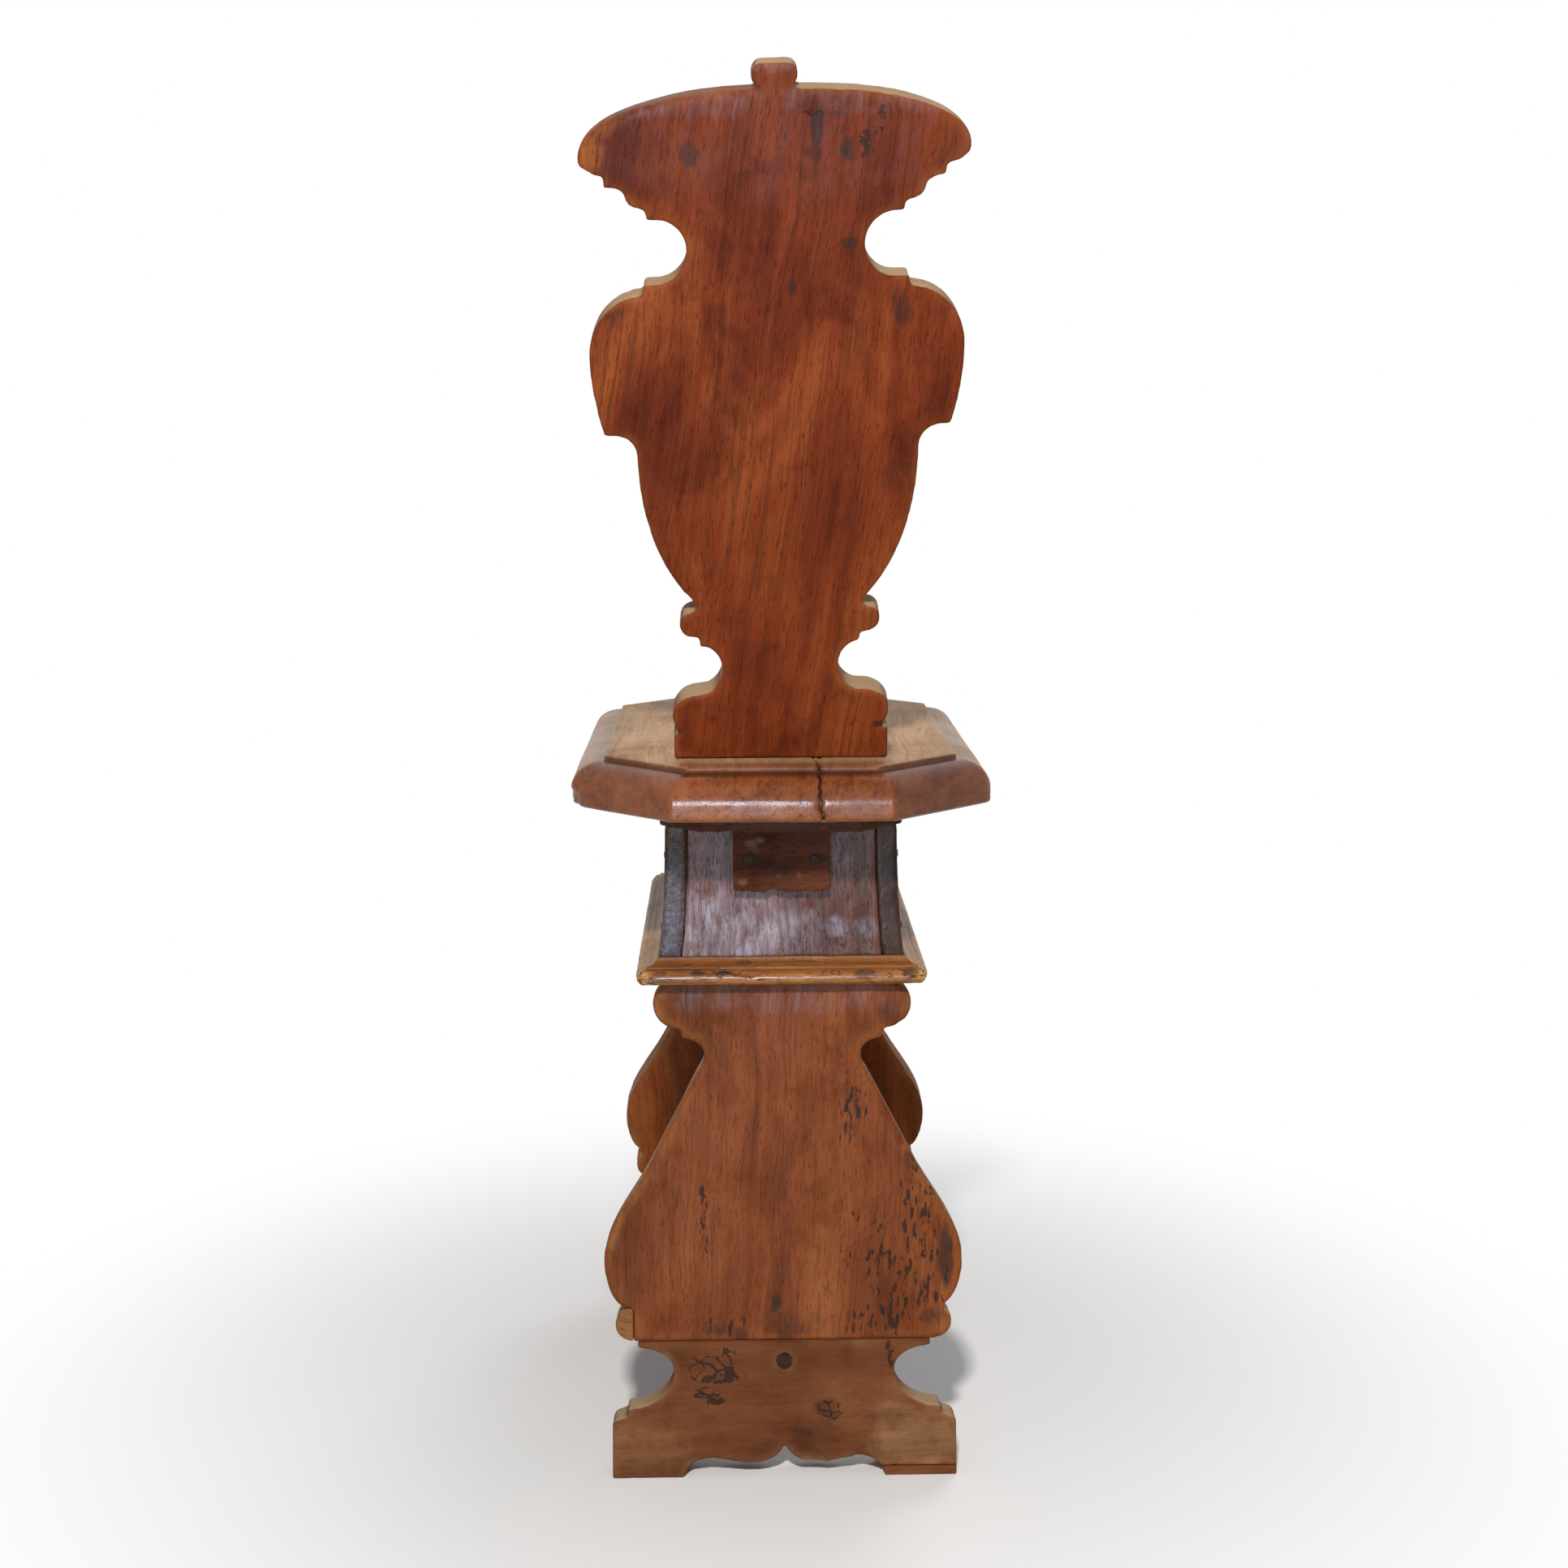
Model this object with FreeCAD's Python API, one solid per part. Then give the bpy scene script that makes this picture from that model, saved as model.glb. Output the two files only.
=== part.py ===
import FreeCAD, Part
import math
import os

# A sgabello: a plank chair whose two shaped board legs carry a small flared box, an octagonal
# moulded seat and a carved-outline back splat. Millimetres, +X the sitter's left, +Y the rear, +Z up.

# Seat: one thick octagonal plank with a moulded edge, which overhangs the box below
seat_height = 566.0
seat_side_overhang = 47.0
seat_end_overhang = 49.5
seat_corner_cut = 65.0
seat_step_drop = 4.0
seat_step_ledge = 2.0
seat_round_reach = 24.0
seat_round_drop = 21.0
seat_nose_height = 9.0
seat_nose_ease = 4.0

# Box under the seat: a top board with clipped corners, two side boards, two end panels and a bottom
top_board_side_overhang = 4.0
top_board_end_overhang = 31.5
top_board_corner_cut = 33.0
top_board_thickness = 16.0
box_height = 105.0
box_top_half_width = 91.0
box_top_half_depth = 165.5
box_flare = 5.5
side_thickness = 17.5
end_thickness = 16.0
bottom_thickness = 18.0

# Moulding planted round the bottom board
moulding_height = 20.0
moulding_reach = 18.0
moulding_torus_radius = 6.0
moulding_ledge = 2.0
moulding_fillet = 2.0
moulding_lip = 1.5

# Back splat: heights are stacked from the seat upwards, along the leaning board
splat_lean = 15.0
splat_thickness = 28.0
splat_drift = 5.5
splat_skew = 5.0
splat_base_half = 82.5
splat_base_height = 23.0
splat_notch_depth = 9.0
splat_scroll_half = 83.0
splat_scroll_rise = 5.0
splat_scroll_lower = 15.0
splat_scroll_upper = 17.5
lower_neck_half = 44.0
lower_cove_reach = 17.0
lower_cove_height = 39.0
lobe_step_half = 60.5
lobe_step_height = 7.5
lobe_half = 75.5
lobe_reach = 10.0
lobe_height = 20.5
vase_foot_half = 61.0
vase_foot_rise = 4.0
vase_half = 103.0
vase_height = 118.0
vase_belly = 27.0
vase_side = 50.0
armpit_reach = 16.0
shoulder_low_half = 126.0
shoulder_half = 135.0
shoulder_lower = 58.0
shoulder_upper = 44.5
shoulder_step_half = 94.5
shoulder_step_height = 7.5
upper_neck_half = 63.0
upper_cove_reach = 21.5
upper_cove_height = 44.5
wing_step_half = 91.0
wing_step_height = 7.0
ogee_half = 105.5
ogee_lower = 10.0
ogee_upper = 6.5
tip_step_half = 119.5
tip_step_height = 8.0
wing_half = 137.0
wing_lower = 11.5
wing_upper = 43.0
wing_fullness = 0.6
finial_neck_half = 12.5
finial_neck_height = 2.5
finial_half = 16.2
finial_lower = 6.0
finial_upper = 9.0
finial_top_half = 9.5

# Joint of splat and seat
splat_tenon_half = 38.0
splat_tenon_thickness = 16.0
splat_tenon_drop = 45.0
splat_tenon_gap = 1.2
key_half_length = 55.0
key_width = 7.0
key_thin_height = 9.0
key_thick_height = 13.0
cleat_half_width = 38.0
cleat_thickness = 12.0
cleat_height = 50.0
cleat_nail_half_spread = 26.0
cleat_nail_drop = 25.0
cleat_nail_shank = 4.5
cleat_nail_head = 9.0

# Legs: heights are stacked from the floor upwards, along the splayed board
leg_splay = 8.0
leg_thickness = 30.0
leg_top_inset = 15.0
arch_apex = 29.0
arch_dip_half = 25.0
arch_dip = 11.0
arch_crown_half = 60.0
arch_crown = 15.0
arch_foot_half = 79.0
foot_half = 136.0
foot_side_height = 43.0
foot_corner_reach = 12.0
foot_corner_height = 6.0
foot_step_height = 7.0
ankle_half = 87.0
ankle_lower = 29.0
ankle_upper = 18.0
ankle_top_half = 115.5
ankle_step_height = 6.0
leg_lobe_half = 133.0
leg_lobe_foot_half = 117.5
leg_lobe_lower = 12.5
leg_lobe_upper = 13.0
bulge_foot_half = 121.5
bulge_half = 141.5
bulge_lower = 38.0
bulge_upper = 27.0
slope_half = 106.0
slope_height = 75.0
slope_handle_half = 119.0
slope_handle_height = 51.0
leg_neck_half = 61.5
leg_neck_lower = 12.0
leg_neck_upper = 12.5
leg_neck_flare = 5.0
leg_step_half = 79.5
leg_step_height = 8.0
leg_scroll_foot_half = 82.5
leg_scroll_half = 102.0
leg_scroll_radius = 19.5
leg_scroll_drop = 17.5

# Joints of the legs
leg_tenon_half = 40.0
leg_tenon_thickness = 16.0
wedge_offset = 20.0
wedge_width = 4.0
wedge_depth = 14.0
tongue_half = 60.0
tongue_thickness = 11.0
tongue_depth = 42.0
peg_radius = 6.0
peg_drop = 17.0
patch_half = 119.0
shim_thickness = 7.0

# Dowels and hand-forged nails
dowel_radius = 4.0
dowel_depth = 20.0
dowel_half_spread = 95.0
nail_taper = 0.35
nail_head_height = 1.2
box_nail_length = 42.0
box_nail_shank = 3.5
box_nail_head = 7.0
box_nail_end_gap = 24.0
bottom_nail_spread = 85.0
pin_length = 36.0
pin_shank = 1.8
pin_head = 3.2
pin_apart = 6.0

# Levels and reaches that follow from the sizes above
seat_flat_half_width = box_top_half_width + seat_side_overhang
seat_flat_half_depth = box_top_half_depth + seat_end_overhang
top_board_half_width = box_top_half_width + top_board_side_overhang
top_board_half_depth = box_top_half_depth + top_board_end_overhang
seat_reach = seat_step_ledge + seat_round_reach
seat_nose_drop = seat_step_drop + seat_round_drop + seat_nose_height + seat_nose_ease
seat_underside = seat_height - seat_nose_drop
box_top = seat_underside - top_board_thickness
box_floor = box_top - box_height
chair_underside = box_floor - bottom_thickness
box_low_half_width = box_top_half_width + box_flare
box_low_half_depth = box_top_half_depth + box_flare
tenon_shoulder = (splat_thickness - splat_tenon_thickness) / 2 / math.cos(math.radians(splat_lean))
tenon_lean = (seat_height - box_top) * math.tan(math.radians(splat_lean))
splat_rear = box_top_half_depth - end_thickness - splat_tenon_gap + tenon_lean + tenon_shoulder
leg_length = chair_underside / math.cos(math.radians(leg_splay))
leg_top_rear = box_low_half_depth + moulding_reach - leg_top_inset
leg_foot_rear = leg_top_rear + chair_underside * math.tan(math.radians(leg_splay))
cleat_rear = box_top_half_depth + cleat_thickness

# A slab or blank that has to outreach the whole chair is this long each way
beyond = 2 * (seat_height + seat_flat_half_depth)

# Handle length that lets a cubic curve follow a quarter of an ellipse
QUARTER = 0.5523


class Path:
    """A run of lines and curves; each point is (distance outwards, height)."""

    def __init__(self, out, height):
        self.here = (out, height)
        self.runs = []

    def curve(self, *points):
        self.runs.append([self.here, *points])
        self.here = points[-1]

    def line(self, out, height):
        self.curve((out, height))

    def climb(self, rise):
        self.line(self.here[0], self.here[1] + rise)

    def reach(self, out):
        self.line(out, self.here[1])

    def round_from_level(self, out, rise):
        """Quarter round that sets off level and arrives upright."""
        start_out, start_height = self.here
        level_handle = (start_out + QUARTER * (out - start_out), start_height)
        upright_handle = (out, start_height + rise - QUARTER * rise)
        self.curve(level_handle, upright_handle, (out, start_height + rise))

    def round_from_upright(self, out, rise, fullness=QUARTER):
        """Quarter round that sets off upright and arrives level."""
        start_out, start_height = self.here
        upright_handle = (start_out, start_height + fullness * rise)
        level_handle = (out + fullness * (start_out - out), start_height + rise)
        self.curve(upright_handle, level_handle, (out, start_height + rise))


def edge_through(points):
    if len(points) == 2:
        return Part.makeLine(*points)
    bezier = Part.BezierCurve()
    bezier.setPoles(points)
    return bezier.toShape()


def closed_face(path, place):
    """Face inside a path that is closed by a line from its end to its start."""
    edges = [edge_through([place(*point) for point in run]) for run in path.runs]
    edges.append(Part.makeLine(place(*path.here), place(*path.runs[0][0])))
    return Part.Face(Part.Wire(edges))


def mirrored_face(path, place):
    """Face between a path and its mirror image, where place(out, height, side) sets each point."""
    start = path.runs[0][0]
    edges = [edge_through([place(*point, 1) for point in run]) for run in path.runs]
    edges.append(Part.makeLine(place(*path.here, 1), place(*path.here, -1)))
    for run in reversed(path.runs):
        edges.append(edge_through([place(*point, -1) for point in reversed(run)]))
    if start[0] > 0:
        edges.append(Part.makeLine(place(*start, -1), place(*start, 1)))
    return Part.Face(Part.Wire(edges))


def upright(out, height, side):
    return FreeCAD.Vector(side * out, 0, height)


def block(low, high):
    size = [high[axis] - low[axis] for axis in range(3)]
    return Part.makeBox(*size, FreeCAD.Vector(*low))


def slab(low, high):
    """All the space between two heights."""
    return block((-beyond, -beyond, low), (beyond, beyond, high))


def turned(shape, angle):
    """Copy turned about the upright axis."""
    copy = shape.copy()
    copy.rotate(FreeCAD.Vector(0, 0, 0), FreeCAD.Vector(0, 0, 1), angle)
    return copy


def one_solid(shape):
    """The single clean solid of a boolean result."""
    clean = shape.removeSplitter()
    if len(clean.Solids) != 1:
        raise ValueError("expected one solid, found %d" % len(clean.Solids))
    return clean.Solids[0]


def drilled(shape, fillers):
    """The shape with room for the nails, pegs or tenons that pass through it."""
    return one_solid(shape.cut(fillers))


def forged_nail(point, direction, length, shank, head):
    """Hand-forged nail: a tapered square shank under a low faceted head, driven from a point."""
    def square(side, height):
        half = side / 2
        corners = [(-half, -half), (half, -half), (half, half), (-half, half), (-half, -half)]
        return Part.makePolygon([FreeCAD.Vector(x, y, height) for x, y in corners])

    tip = shank * nail_taper
    body = Part.makeLoft([square(shank, 0), square(tip, length)], True, True)
    cap = Part.makeLoft([square(head, 0), square(shank, -nail_head_height)], True, True)
    nail = one_solid(body.fuse(cap))
    turn = FreeCAD.Rotation(FreeCAD.Vector(0, 0, 1), FreeCAD.Vector(*direction))
    nail.Placement = FreeCAD.Placement(FreeCAD.Vector(*point), turn)
    return nail


# Seat: at every height its section is the same octagon, set in or out by the edge profile
def seat_bar(half_size):
    edge = Path(half_size + seat_reach - seat_nose_ease, seat_underside)
    edge.round_from_level(half_size + seat_reach, seat_nose_ease)
    edge.climb(seat_nose_height)
    edge.round_from_upright(half_size + seat_step_ledge, seat_round_drop)
    edge.reach(half_size)
    edge.climb(seat_step_drop)
    bar = mirrored_face(edge, upright).extrude(FreeCAD.Vector(0, 2 * beyond, 0))
    bar.translate(FreeCAD.Vector(0, -beyond, 0))
    return bar


corner_half_size = (seat_flat_half_width + seat_flat_half_depth - seat_corner_cut) / math.sqrt(2)
corner_bar = seat_bar(corner_half_size)
seat_board = seat_bar(seat_flat_half_width).common(turned(seat_bar(seat_flat_half_depth), 90))
seat_board = seat_board.common(turned(corner_bar, 45))
seat_board = one_solid(seat_board.common(turned(corner_bar, -45)))

# Top board of the box: a plain board under the seat with its corners clipped
clipped = Path(top_board_half_width - top_board_corner_cut, -top_board_half_depth)
clipped.line(top_board_half_width, top_board_corner_cut - top_board_half_depth)
clipped.line(top_board_half_width, top_board_half_depth - top_board_corner_cut)
clipped.line(top_board_half_width - top_board_corner_cut, top_board_half_depth)
top_face = mirrored_face(clipped, lambda out, along, side: FreeCAD.Vector(side * out, along, box_top))
box_top_board = top_face.extrude(FreeCAD.Vector(0, 0, top_board_thickness))


# Box: boards cut from a casing whose four walls flare outwards towards the bottom
def flare_at(height):
    return box_flare * ((box_top - height) / box_height) ** 2


def flared_bar(top_half):
    wall = Path(top_half + box_flare, box_floor)
    wall.curve((top_half, box_floor + box_height / 2), (top_half, box_top))
    bar = mirrored_face(wall, upright).extrude(FreeCAD.Vector(0, 2 * beyond, 0))
    bar.translate(FreeCAD.Vector(0, -beyond, 0))
    return bar


casing = flared_bar(box_top_half_width).common(turned(flared_bar(box_top_half_depth), 90))
between_sides = flared_bar(box_top_half_width - side_thickness)
between_ends = turned(flared_bar(box_top_half_depth - end_thickness), 90)
side_boards = casing.cut(between_sides).Solids
box_right_side, box_left_side = sorted(side_boards, key=lambda board: board.CenterOfMass.x)
end_panels = casing.common(between_sides).cut(between_ends).Solids
box_front_panel, box_back_panel = sorted(end_panels, key=lambda panel: panel.CenterOfMass.y)
box_bottom_board = block(
    (-box_low_half_width, -box_low_half_depth, chair_underside),
    (box_low_half_width, box_low_half_depth, box_floor),
)


# Base moulding: a torus under a fillet and a cove, in four strips mitred at the corners
def moulding_strip(half_out, half_along):
    section = Path(0, 0)
    section.reach(moulding_reach - moulding_torus_radius)
    section.round_from_level(moulding_reach, moulding_torus_radius)
    section.round_from_upright(moulding_reach - moulding_torus_radius, moulding_torus_radius)
    section.reach(moulding_reach - moulding_torus_radius - moulding_ledge)
    section.climb(moulding_fillet)
    section.round_from_level(moulding_lip, moulding_height - section.here[1])
    section.reach(0)
    half_length = half_along + moulding_reach

    def at_one_end(out, height):
        return FreeCAD.Vector(-half_length, half_out + out, chair_underside + height)

    strip = closed_face(section, at_one_end).extrude(FreeCAD.Vector(2 * half_length, 0, 0))
    mitre = Path(half_along, half_out)
    mitre.line(half_length, half_out + moulding_reach)
    between_mitres = mirrored_face(mitre, lambda out, along, side: FreeCAD.Vector(side * out, along, 0))
    between_mitres.translate(FreeCAD.Vector(0, 0, chair_underside))
    return one_solid(strip.common(between_mitres.extrude(FreeCAD.Vector(0, 0, moulding_height))))


end_strip = moulding_strip(box_low_half_depth, box_low_half_width)
side_strip = moulding_strip(box_low_half_width, box_low_half_depth)
base_moulding_back = end_strip
base_moulding_front = turned(end_strip, 180)
base_moulding_left = turned(side_strip, -90)
base_moulding_right = turned(side_strip, 90)

# Back splat: base block, scroll, coves, lobes, vase, shoulders, wings and a knob, sawn by hand
outline = Path(splat_base_half, -splat_thickness)
outline.line(splat_base_half, splat_base_height)
outline.reach(splat_base_half - splat_notch_depth)
outline.curve(
    (splat_scroll_half, splat_base_height + splat_scroll_rise),
    (splat_scroll_half, splat_base_height + splat_scroll_lower),
)
outline.round_from_upright(lower_neck_half + lower_cove_reach, splat_scroll_upper)
outline.round_from_level(lower_neck_half, lower_cove_height / 2)
outline.round_from_upright(lower_neck_half + lower_cove_reach - moulding_lip, lower_cove_height / 2)
outline.reach(lobe_step_half)
outline.climb(lobe_step_height)
outline.reach(lobe_half - lobe_reach)
outline.round_from_level(lobe_half, lobe_height / 2)
outline.round_from_upright(lobe_half - lobe_reach, lobe_height / 2)
outline.line(vase_foot_half, outline.here[1] + vase_foot_rise)
vase_foot = outline.here[1]
outline.curve(
    (vase_foot_half + vase_belly, vase_foot + vase_belly),
    (vase_half, vase_foot + vase_height - vase_side),
    (vase_half, vase_foot + vase_height),
)
outline.round_from_upright(vase_half + armpit_reach, armpit_reach)
outline.reach(shoulder_low_half)
shoulder_foot = outline.here[1]
outline.curve(
    (shoulder_half, shoulder_foot + shoulder_lower / 2),
    (shoulder_half, shoulder_foot + shoulder_lower),
)
outline.round_from_upright(shoulder_step_half, shoulder_upper)
outline.climb(shoulder_step_height)
outline.reach(upper_neck_half + upper_cove_reach)
outline.round_from_level(upper_neck_half, upper_cove_height / 2)
outline.round_from_upright(upper_neck_half + upper_cove_reach, upper_cove_height / 2)
outline.reach(wing_step_half)
outline.climb(wing_step_height)
outline.round_from_level(ogee_half, ogee_lower)
outline.round_from_upright(tip_step_half, ogee_upper)
outline.climb(tip_step_height)
outline.round_from_level(wing_half, wing_lower)
outline.round_from_upright(finial_neck_half, wing_upper, wing_fullness)
outline.climb(finial_neck_height)
outline.round_from_level(finial_half, finial_lower)
outline.round_from_upright(finial_top_half, finial_upper)
splat_height = outline.here[1]


def hand_sawn(out, height, side):
    """The sawn outline wanders to one side as it rises, and that side is the lower one."""
    drift = splat_drift * height / splat_height
    drop = splat_skew * side * out / wing_half
    return FreeCAD.Vector(side * out + drift, 0, height - drop)


def lean_back(shape):
    shape.rotate(FreeCAD.Vector(0, 0, 0), FreeCAD.Vector(1, 0, 0), -splat_lean)
    shape.translate(FreeCAD.Vector(0, splat_rear, seat_height))
    return shape


def tenon_middle(height):
    """Depth of the leaning tenon's middle plane at a height below the seat top."""
    lean = math.radians(splat_lean)
    return splat_rear - (seat_height - height) * math.tan(lean) - splat_thickness / 2 / math.cos(lean)


splat_plank = mirrored_face(outline, hand_sawn).extrude(FreeCAD.Vector(0, -splat_thickness, 0))
splat_plank = lean_back(splat_plank).common(slab(seat_height, beyond))
tenon_length = (seat_height - box_top + splat_tenon_drop) / math.cos(math.radians(splat_lean))
splat_tenon = lean_back(block(
    (-splat_tenon_half, -(splat_thickness + splat_tenon_thickness) / 2, -tenon_length),
    (splat_tenon_half, -(splat_thickness - splat_tenon_thickness) / 2, splat_base_height / 2),
))
seat_board = drilled(seat_board, splat_tenon)
box_top_board = drilled(box_top_board, splat_tenon)
back_splat = one_solid(splat_plank.fuse(splat_tenon))

# Key: a tapered stick through the tenon, driven sideways inside the box to pull the splat down
key_top = box_top
key_corners = [
    (-key_half_length, key_top),
    (key_half_length, key_top),
    (key_half_length, key_top - key_thick_height),
    (-key_half_length, key_top - key_thin_height),
    (-key_half_length, key_top),
]
key_front = tenon_middle(key_top - key_thick_height / 2) - key_width / 2
key_outline = Part.makePolygon([FreeCAD.Vector(x, key_front, z) for x, z in key_corners])
splat_key = Part.Face(key_outline).extrude(FreeCAD.Vector(0, key_width, 0))
back_splat = drilled(back_splat, splat_key)

# Cleat: a block nailed to the back panel under the seat, its nails biting into the tenon
cleat_bottom = box_top - cleat_height
rear_cleat = block(
    (-cleat_half_width, box_top_half_depth - end_thickness, cleat_bottom),
    (cleat_half_width, cleat_rear, box_top),
)
rear_cleat = one_solid(rear_cleat.cut(casing))
cleat_nail_height = box_top - cleat_nail_drop
cleat_nail_length = cleat_rear - tenon_middle(cleat_nail_height)
cleat_nails = Part.makeCompound([
    forged_nail(
        (side * cleat_nail_half_spread, cleat_rear, cleat_nail_height),
        (0, -1, 0), cleat_nail_length, cleat_nail_shank, cleat_nail_head,
    )
    for side in (-1, 1)
])
rear_cleat = drilled(rear_cleat, cleat_nails)
box_back_panel = drilled(box_back_panel, cleat_nails)
back_splat = drilled(back_splat, cleat_nails)

# Legs: outline of one board from the arch between its feet up to the scroll under the box
outline = Path(0, arch_apex)
outline.round_from_upright(arch_dip_half, arch_dip - arch_apex)
arch_middle = (arch_dip_half + arch_crown_half) / 2
outline.curve((arch_middle, arch_dip), (arch_middle, arch_crown), (arch_crown_half, arch_crown))
outline.round_from_level(arch_foot_half, -arch_crown)
outline.reach(foot_half)
outline.climb(foot_side_height)
outline.round_from_upright(foot_half - foot_corner_reach, foot_corner_height)
outline.climb(foot_step_height)
outline.round_from_level(ankle_half, ankle_lower)
outline.round_from_upright(ankle_top_half, ankle_upper)
outline.climb(ankle_step_height)
leg_joint = outline.here[1]
outline.reach(leg_lobe_foot_half)
outline.round_from_level(leg_lobe_half, leg_lobe_lower)
outline.round_from_upright(bulge_foot_half, leg_lobe_upper)
lobe_top = outline.here[1]
outline.round_from_level(bulge_half, bulge_lower)
bulge_middle = outline.here[1]
outline.curve(
    (bulge_half, bulge_middle + bulge_upper),
    (slope_handle_half, bulge_middle + slope_handle_height),
    (slope_half, bulge_middle + slope_height),
)
scroll_middle = leg_length - leg_scroll_drop
neck_middle = scroll_middle - leg_scroll_radius - leg_step_height - leg_neck_upper
outline.line(leg_neck_half + leg_neck_flare, neck_middle - leg_neck_lower)
outline.curve((leg_neck_half, neck_middle - leg_neck_lower / 2), (leg_neck_half, neck_middle))
outline.round_from_upright(leg_step_half, leg_neck_upper)
outline.climb(leg_step_height)
outline.reach(leg_scroll_foot_half)
outline.round_from_level(leg_scroll_half, leg_scroll_radius)
outline.round_from_upright(leg_scroll_foot_half, leg_scroll_radius)
outline.climb(leg_thickness)
leg_blank = mirrored_face(outline, upright).extrude(FreeCAD.Vector(0, -leg_thickness, 0))


def splayed(shape):
    shape.rotate(FreeCAD.Vector(0, 0, 0), FreeCAD.Vector(1, 0, 0), leg_splay)
    shape.translate(FreeCAD.Vector(0, leg_foot_rear, 0))
    return shape


def to_front(shape):
    """The same piece on the front leg, which mirrors the rear one."""
    return shape.mirror(FreeCAD.Vector(0, 0, 0), FreeCAD.Vector(0, 1, 0))


# The foot is a separate board: a tongue of the leg sits in it and a peg pins the two together
foot_zone = block((-beyond, -beyond, -beyond), (beyond, beyond, leg_joint))
tongue = block(
    (-tongue_half, -(leg_thickness + tongue_thickness) / 2, leg_joint - tongue_depth),
    (tongue_half, -(leg_thickness - tongue_thickness) / 2, leg_joint),
)
peg_start = FreeCAD.Vector(0, -leg_thickness, leg_joint - peg_drop)
foot_peg = Part.makeCylinder(peg_radius, leg_thickness, peg_start, FreeCAD.Vector(0, 1, 0))
foot_board = splayed(leg_blank.common(foot_zone).cut(tongue).cut(foot_peg))
foot_board = one_solid(foot_board.common(slab(0, beyond)))
leg_board = splayed(leg_blank.cut(foot_zone).fuse(tongue).cut(foot_peg))

# A tenon on the inner half of the leg's top passes through the bottom board and is wedged there
leg_tenon = splayed(block(
    (-leg_tenon_half, -leg_thickness, leg_length - bottom_thickness),
    (leg_tenon_half, leg_tenon_thickness - leg_thickness, leg_length + 2 * bottom_thickness),
)).common(slab(0, box_floor))
leg_board = one_solid(leg_board.common(slab(0, chair_underside)).fuse(leg_tenon))
wedge_top = leg_length + bottom_thickness / math.cos(math.radians(leg_splay)) + leg_thickness
wedge_bottom = wedge_top - leg_thickness - wedge_depth


def tenon_wedge(middle):
    """Thin wedge across the tenon, with its point down, planed flush with the bottom board."""
    corners = [(middle - wedge_width, wedge_top), (middle, wedge_bottom), (middle + wedge_width, wedge_top)]
    ring = [FreeCAD.Vector(x, -leg_thickness, z) for x, z in corners + corners[:1]]
    wedge = Part.Face(Part.makePolygon(ring)).extrude(FreeCAD.Vector(0, leg_tenon_thickness, 0))
    return one_solid(splayed(wedge).common(slab(0, box_floor)))


rear_wedges = [tenon_wedge(middle) for middle in (-wedge_offset, wedge_offset)]
leg_wedges = Part.makeCompound(rear_wedges + [to_front(wedge) for wedge in rear_wedges])
box_bottom_board = drilled(box_bottom_board, leg_tenon)
box_bottom_board = drilled(box_bottom_board, to_front(leg_tenon))
leg_board = drilled(leg_board, Part.makeCompound(rear_wedges))
splayed(foot_peg)
front_leg_board = to_front(leg_board)
front_foot_board = to_front(foot_board)
front_foot_peg = to_front(foot_peg)

# The rear leg has had a lobe pieced in on the sitter's left and a shim put under its other foot
patch_zone = splayed(block((patch_half, -leg_thickness, leg_joint), (beyond, 0, lobe_top)))
rear_lobe_patch = one_solid(leg_board.common(patch_zone))
rear_leg_board = drilled(leg_board, patch_zone)
shim_zone = block((-beyond, 0, 0), (-arch_crown_half, beyond, shim_thickness))
rear_foot_shim = one_solid(foot_board.common(shim_zone))
rear_foot_board = drilled(foot_board, shim_zone)

# Dowels from the side boards through the top board into the seat
dowel_x = box_top_half_width - side_thickness / 2
seat_dowels = Part.makeCompound([
    Part.makeCylinder(
        dowel_radius, 2 * dowel_depth + top_board_thickness,
        FreeCAD.Vector(side * dowel_x, end * dowel_half_spread, box_top - dowel_depth),
    )
    for side in (-1, 1)
    for end in (-1, 1)
])
seat_board = drilled(seat_board, seat_dowels)
box_top_board = drilled(box_top_board, seat_dowels)
box_left_side = drilled(box_left_side, seat_dowels)
box_right_side = drilled(box_right_side, seat_dowels)

# Nails through the side boards into the edges of the end panels, two at each corner of the box
box_nail_list = []
for height in (box_floor + box_nail_end_gap, box_top - box_nail_end_gap):
    head_x = box_top_half_width + flare_at(height)
    panel_y = box_top_half_depth + flare_at(height) - end_thickness / 2
    for side in (-1, 1):
        for end in (-1, 1):
            start = (side * head_x, end * panel_y, height)
            box_nail_list.append(
                forged_nail(start, (-side, 0, 0), box_nail_length, box_nail_shank, box_nail_head)
            )
box_nails = Part.makeCompound(box_nail_list)

# Nails up through the bottom board into the side boards
bottom_nails = Part.makeCompound([
    forged_nail(
        (side * (box_low_half_width - side_thickness / 2), along, chair_underside),
        (0, 0, 1), box_nail_length, box_nail_shank, box_nail_head,
    )
    for side in (-1, 1)
    for along in (-bottom_nail_spread, 0, bottom_nail_spread)
])
box_left_side = drilled(drilled(box_left_side, box_nails), bottom_nails)
box_right_side = drilled(drilled(box_right_side, box_nails), bottom_nails)
box_back_panel = drilled(box_back_panel, box_nails)
box_front_panel = drilled(box_front_panel, box_nails)
box_bottom_board = drilled(box_bottom_board, bottom_nails)

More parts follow.
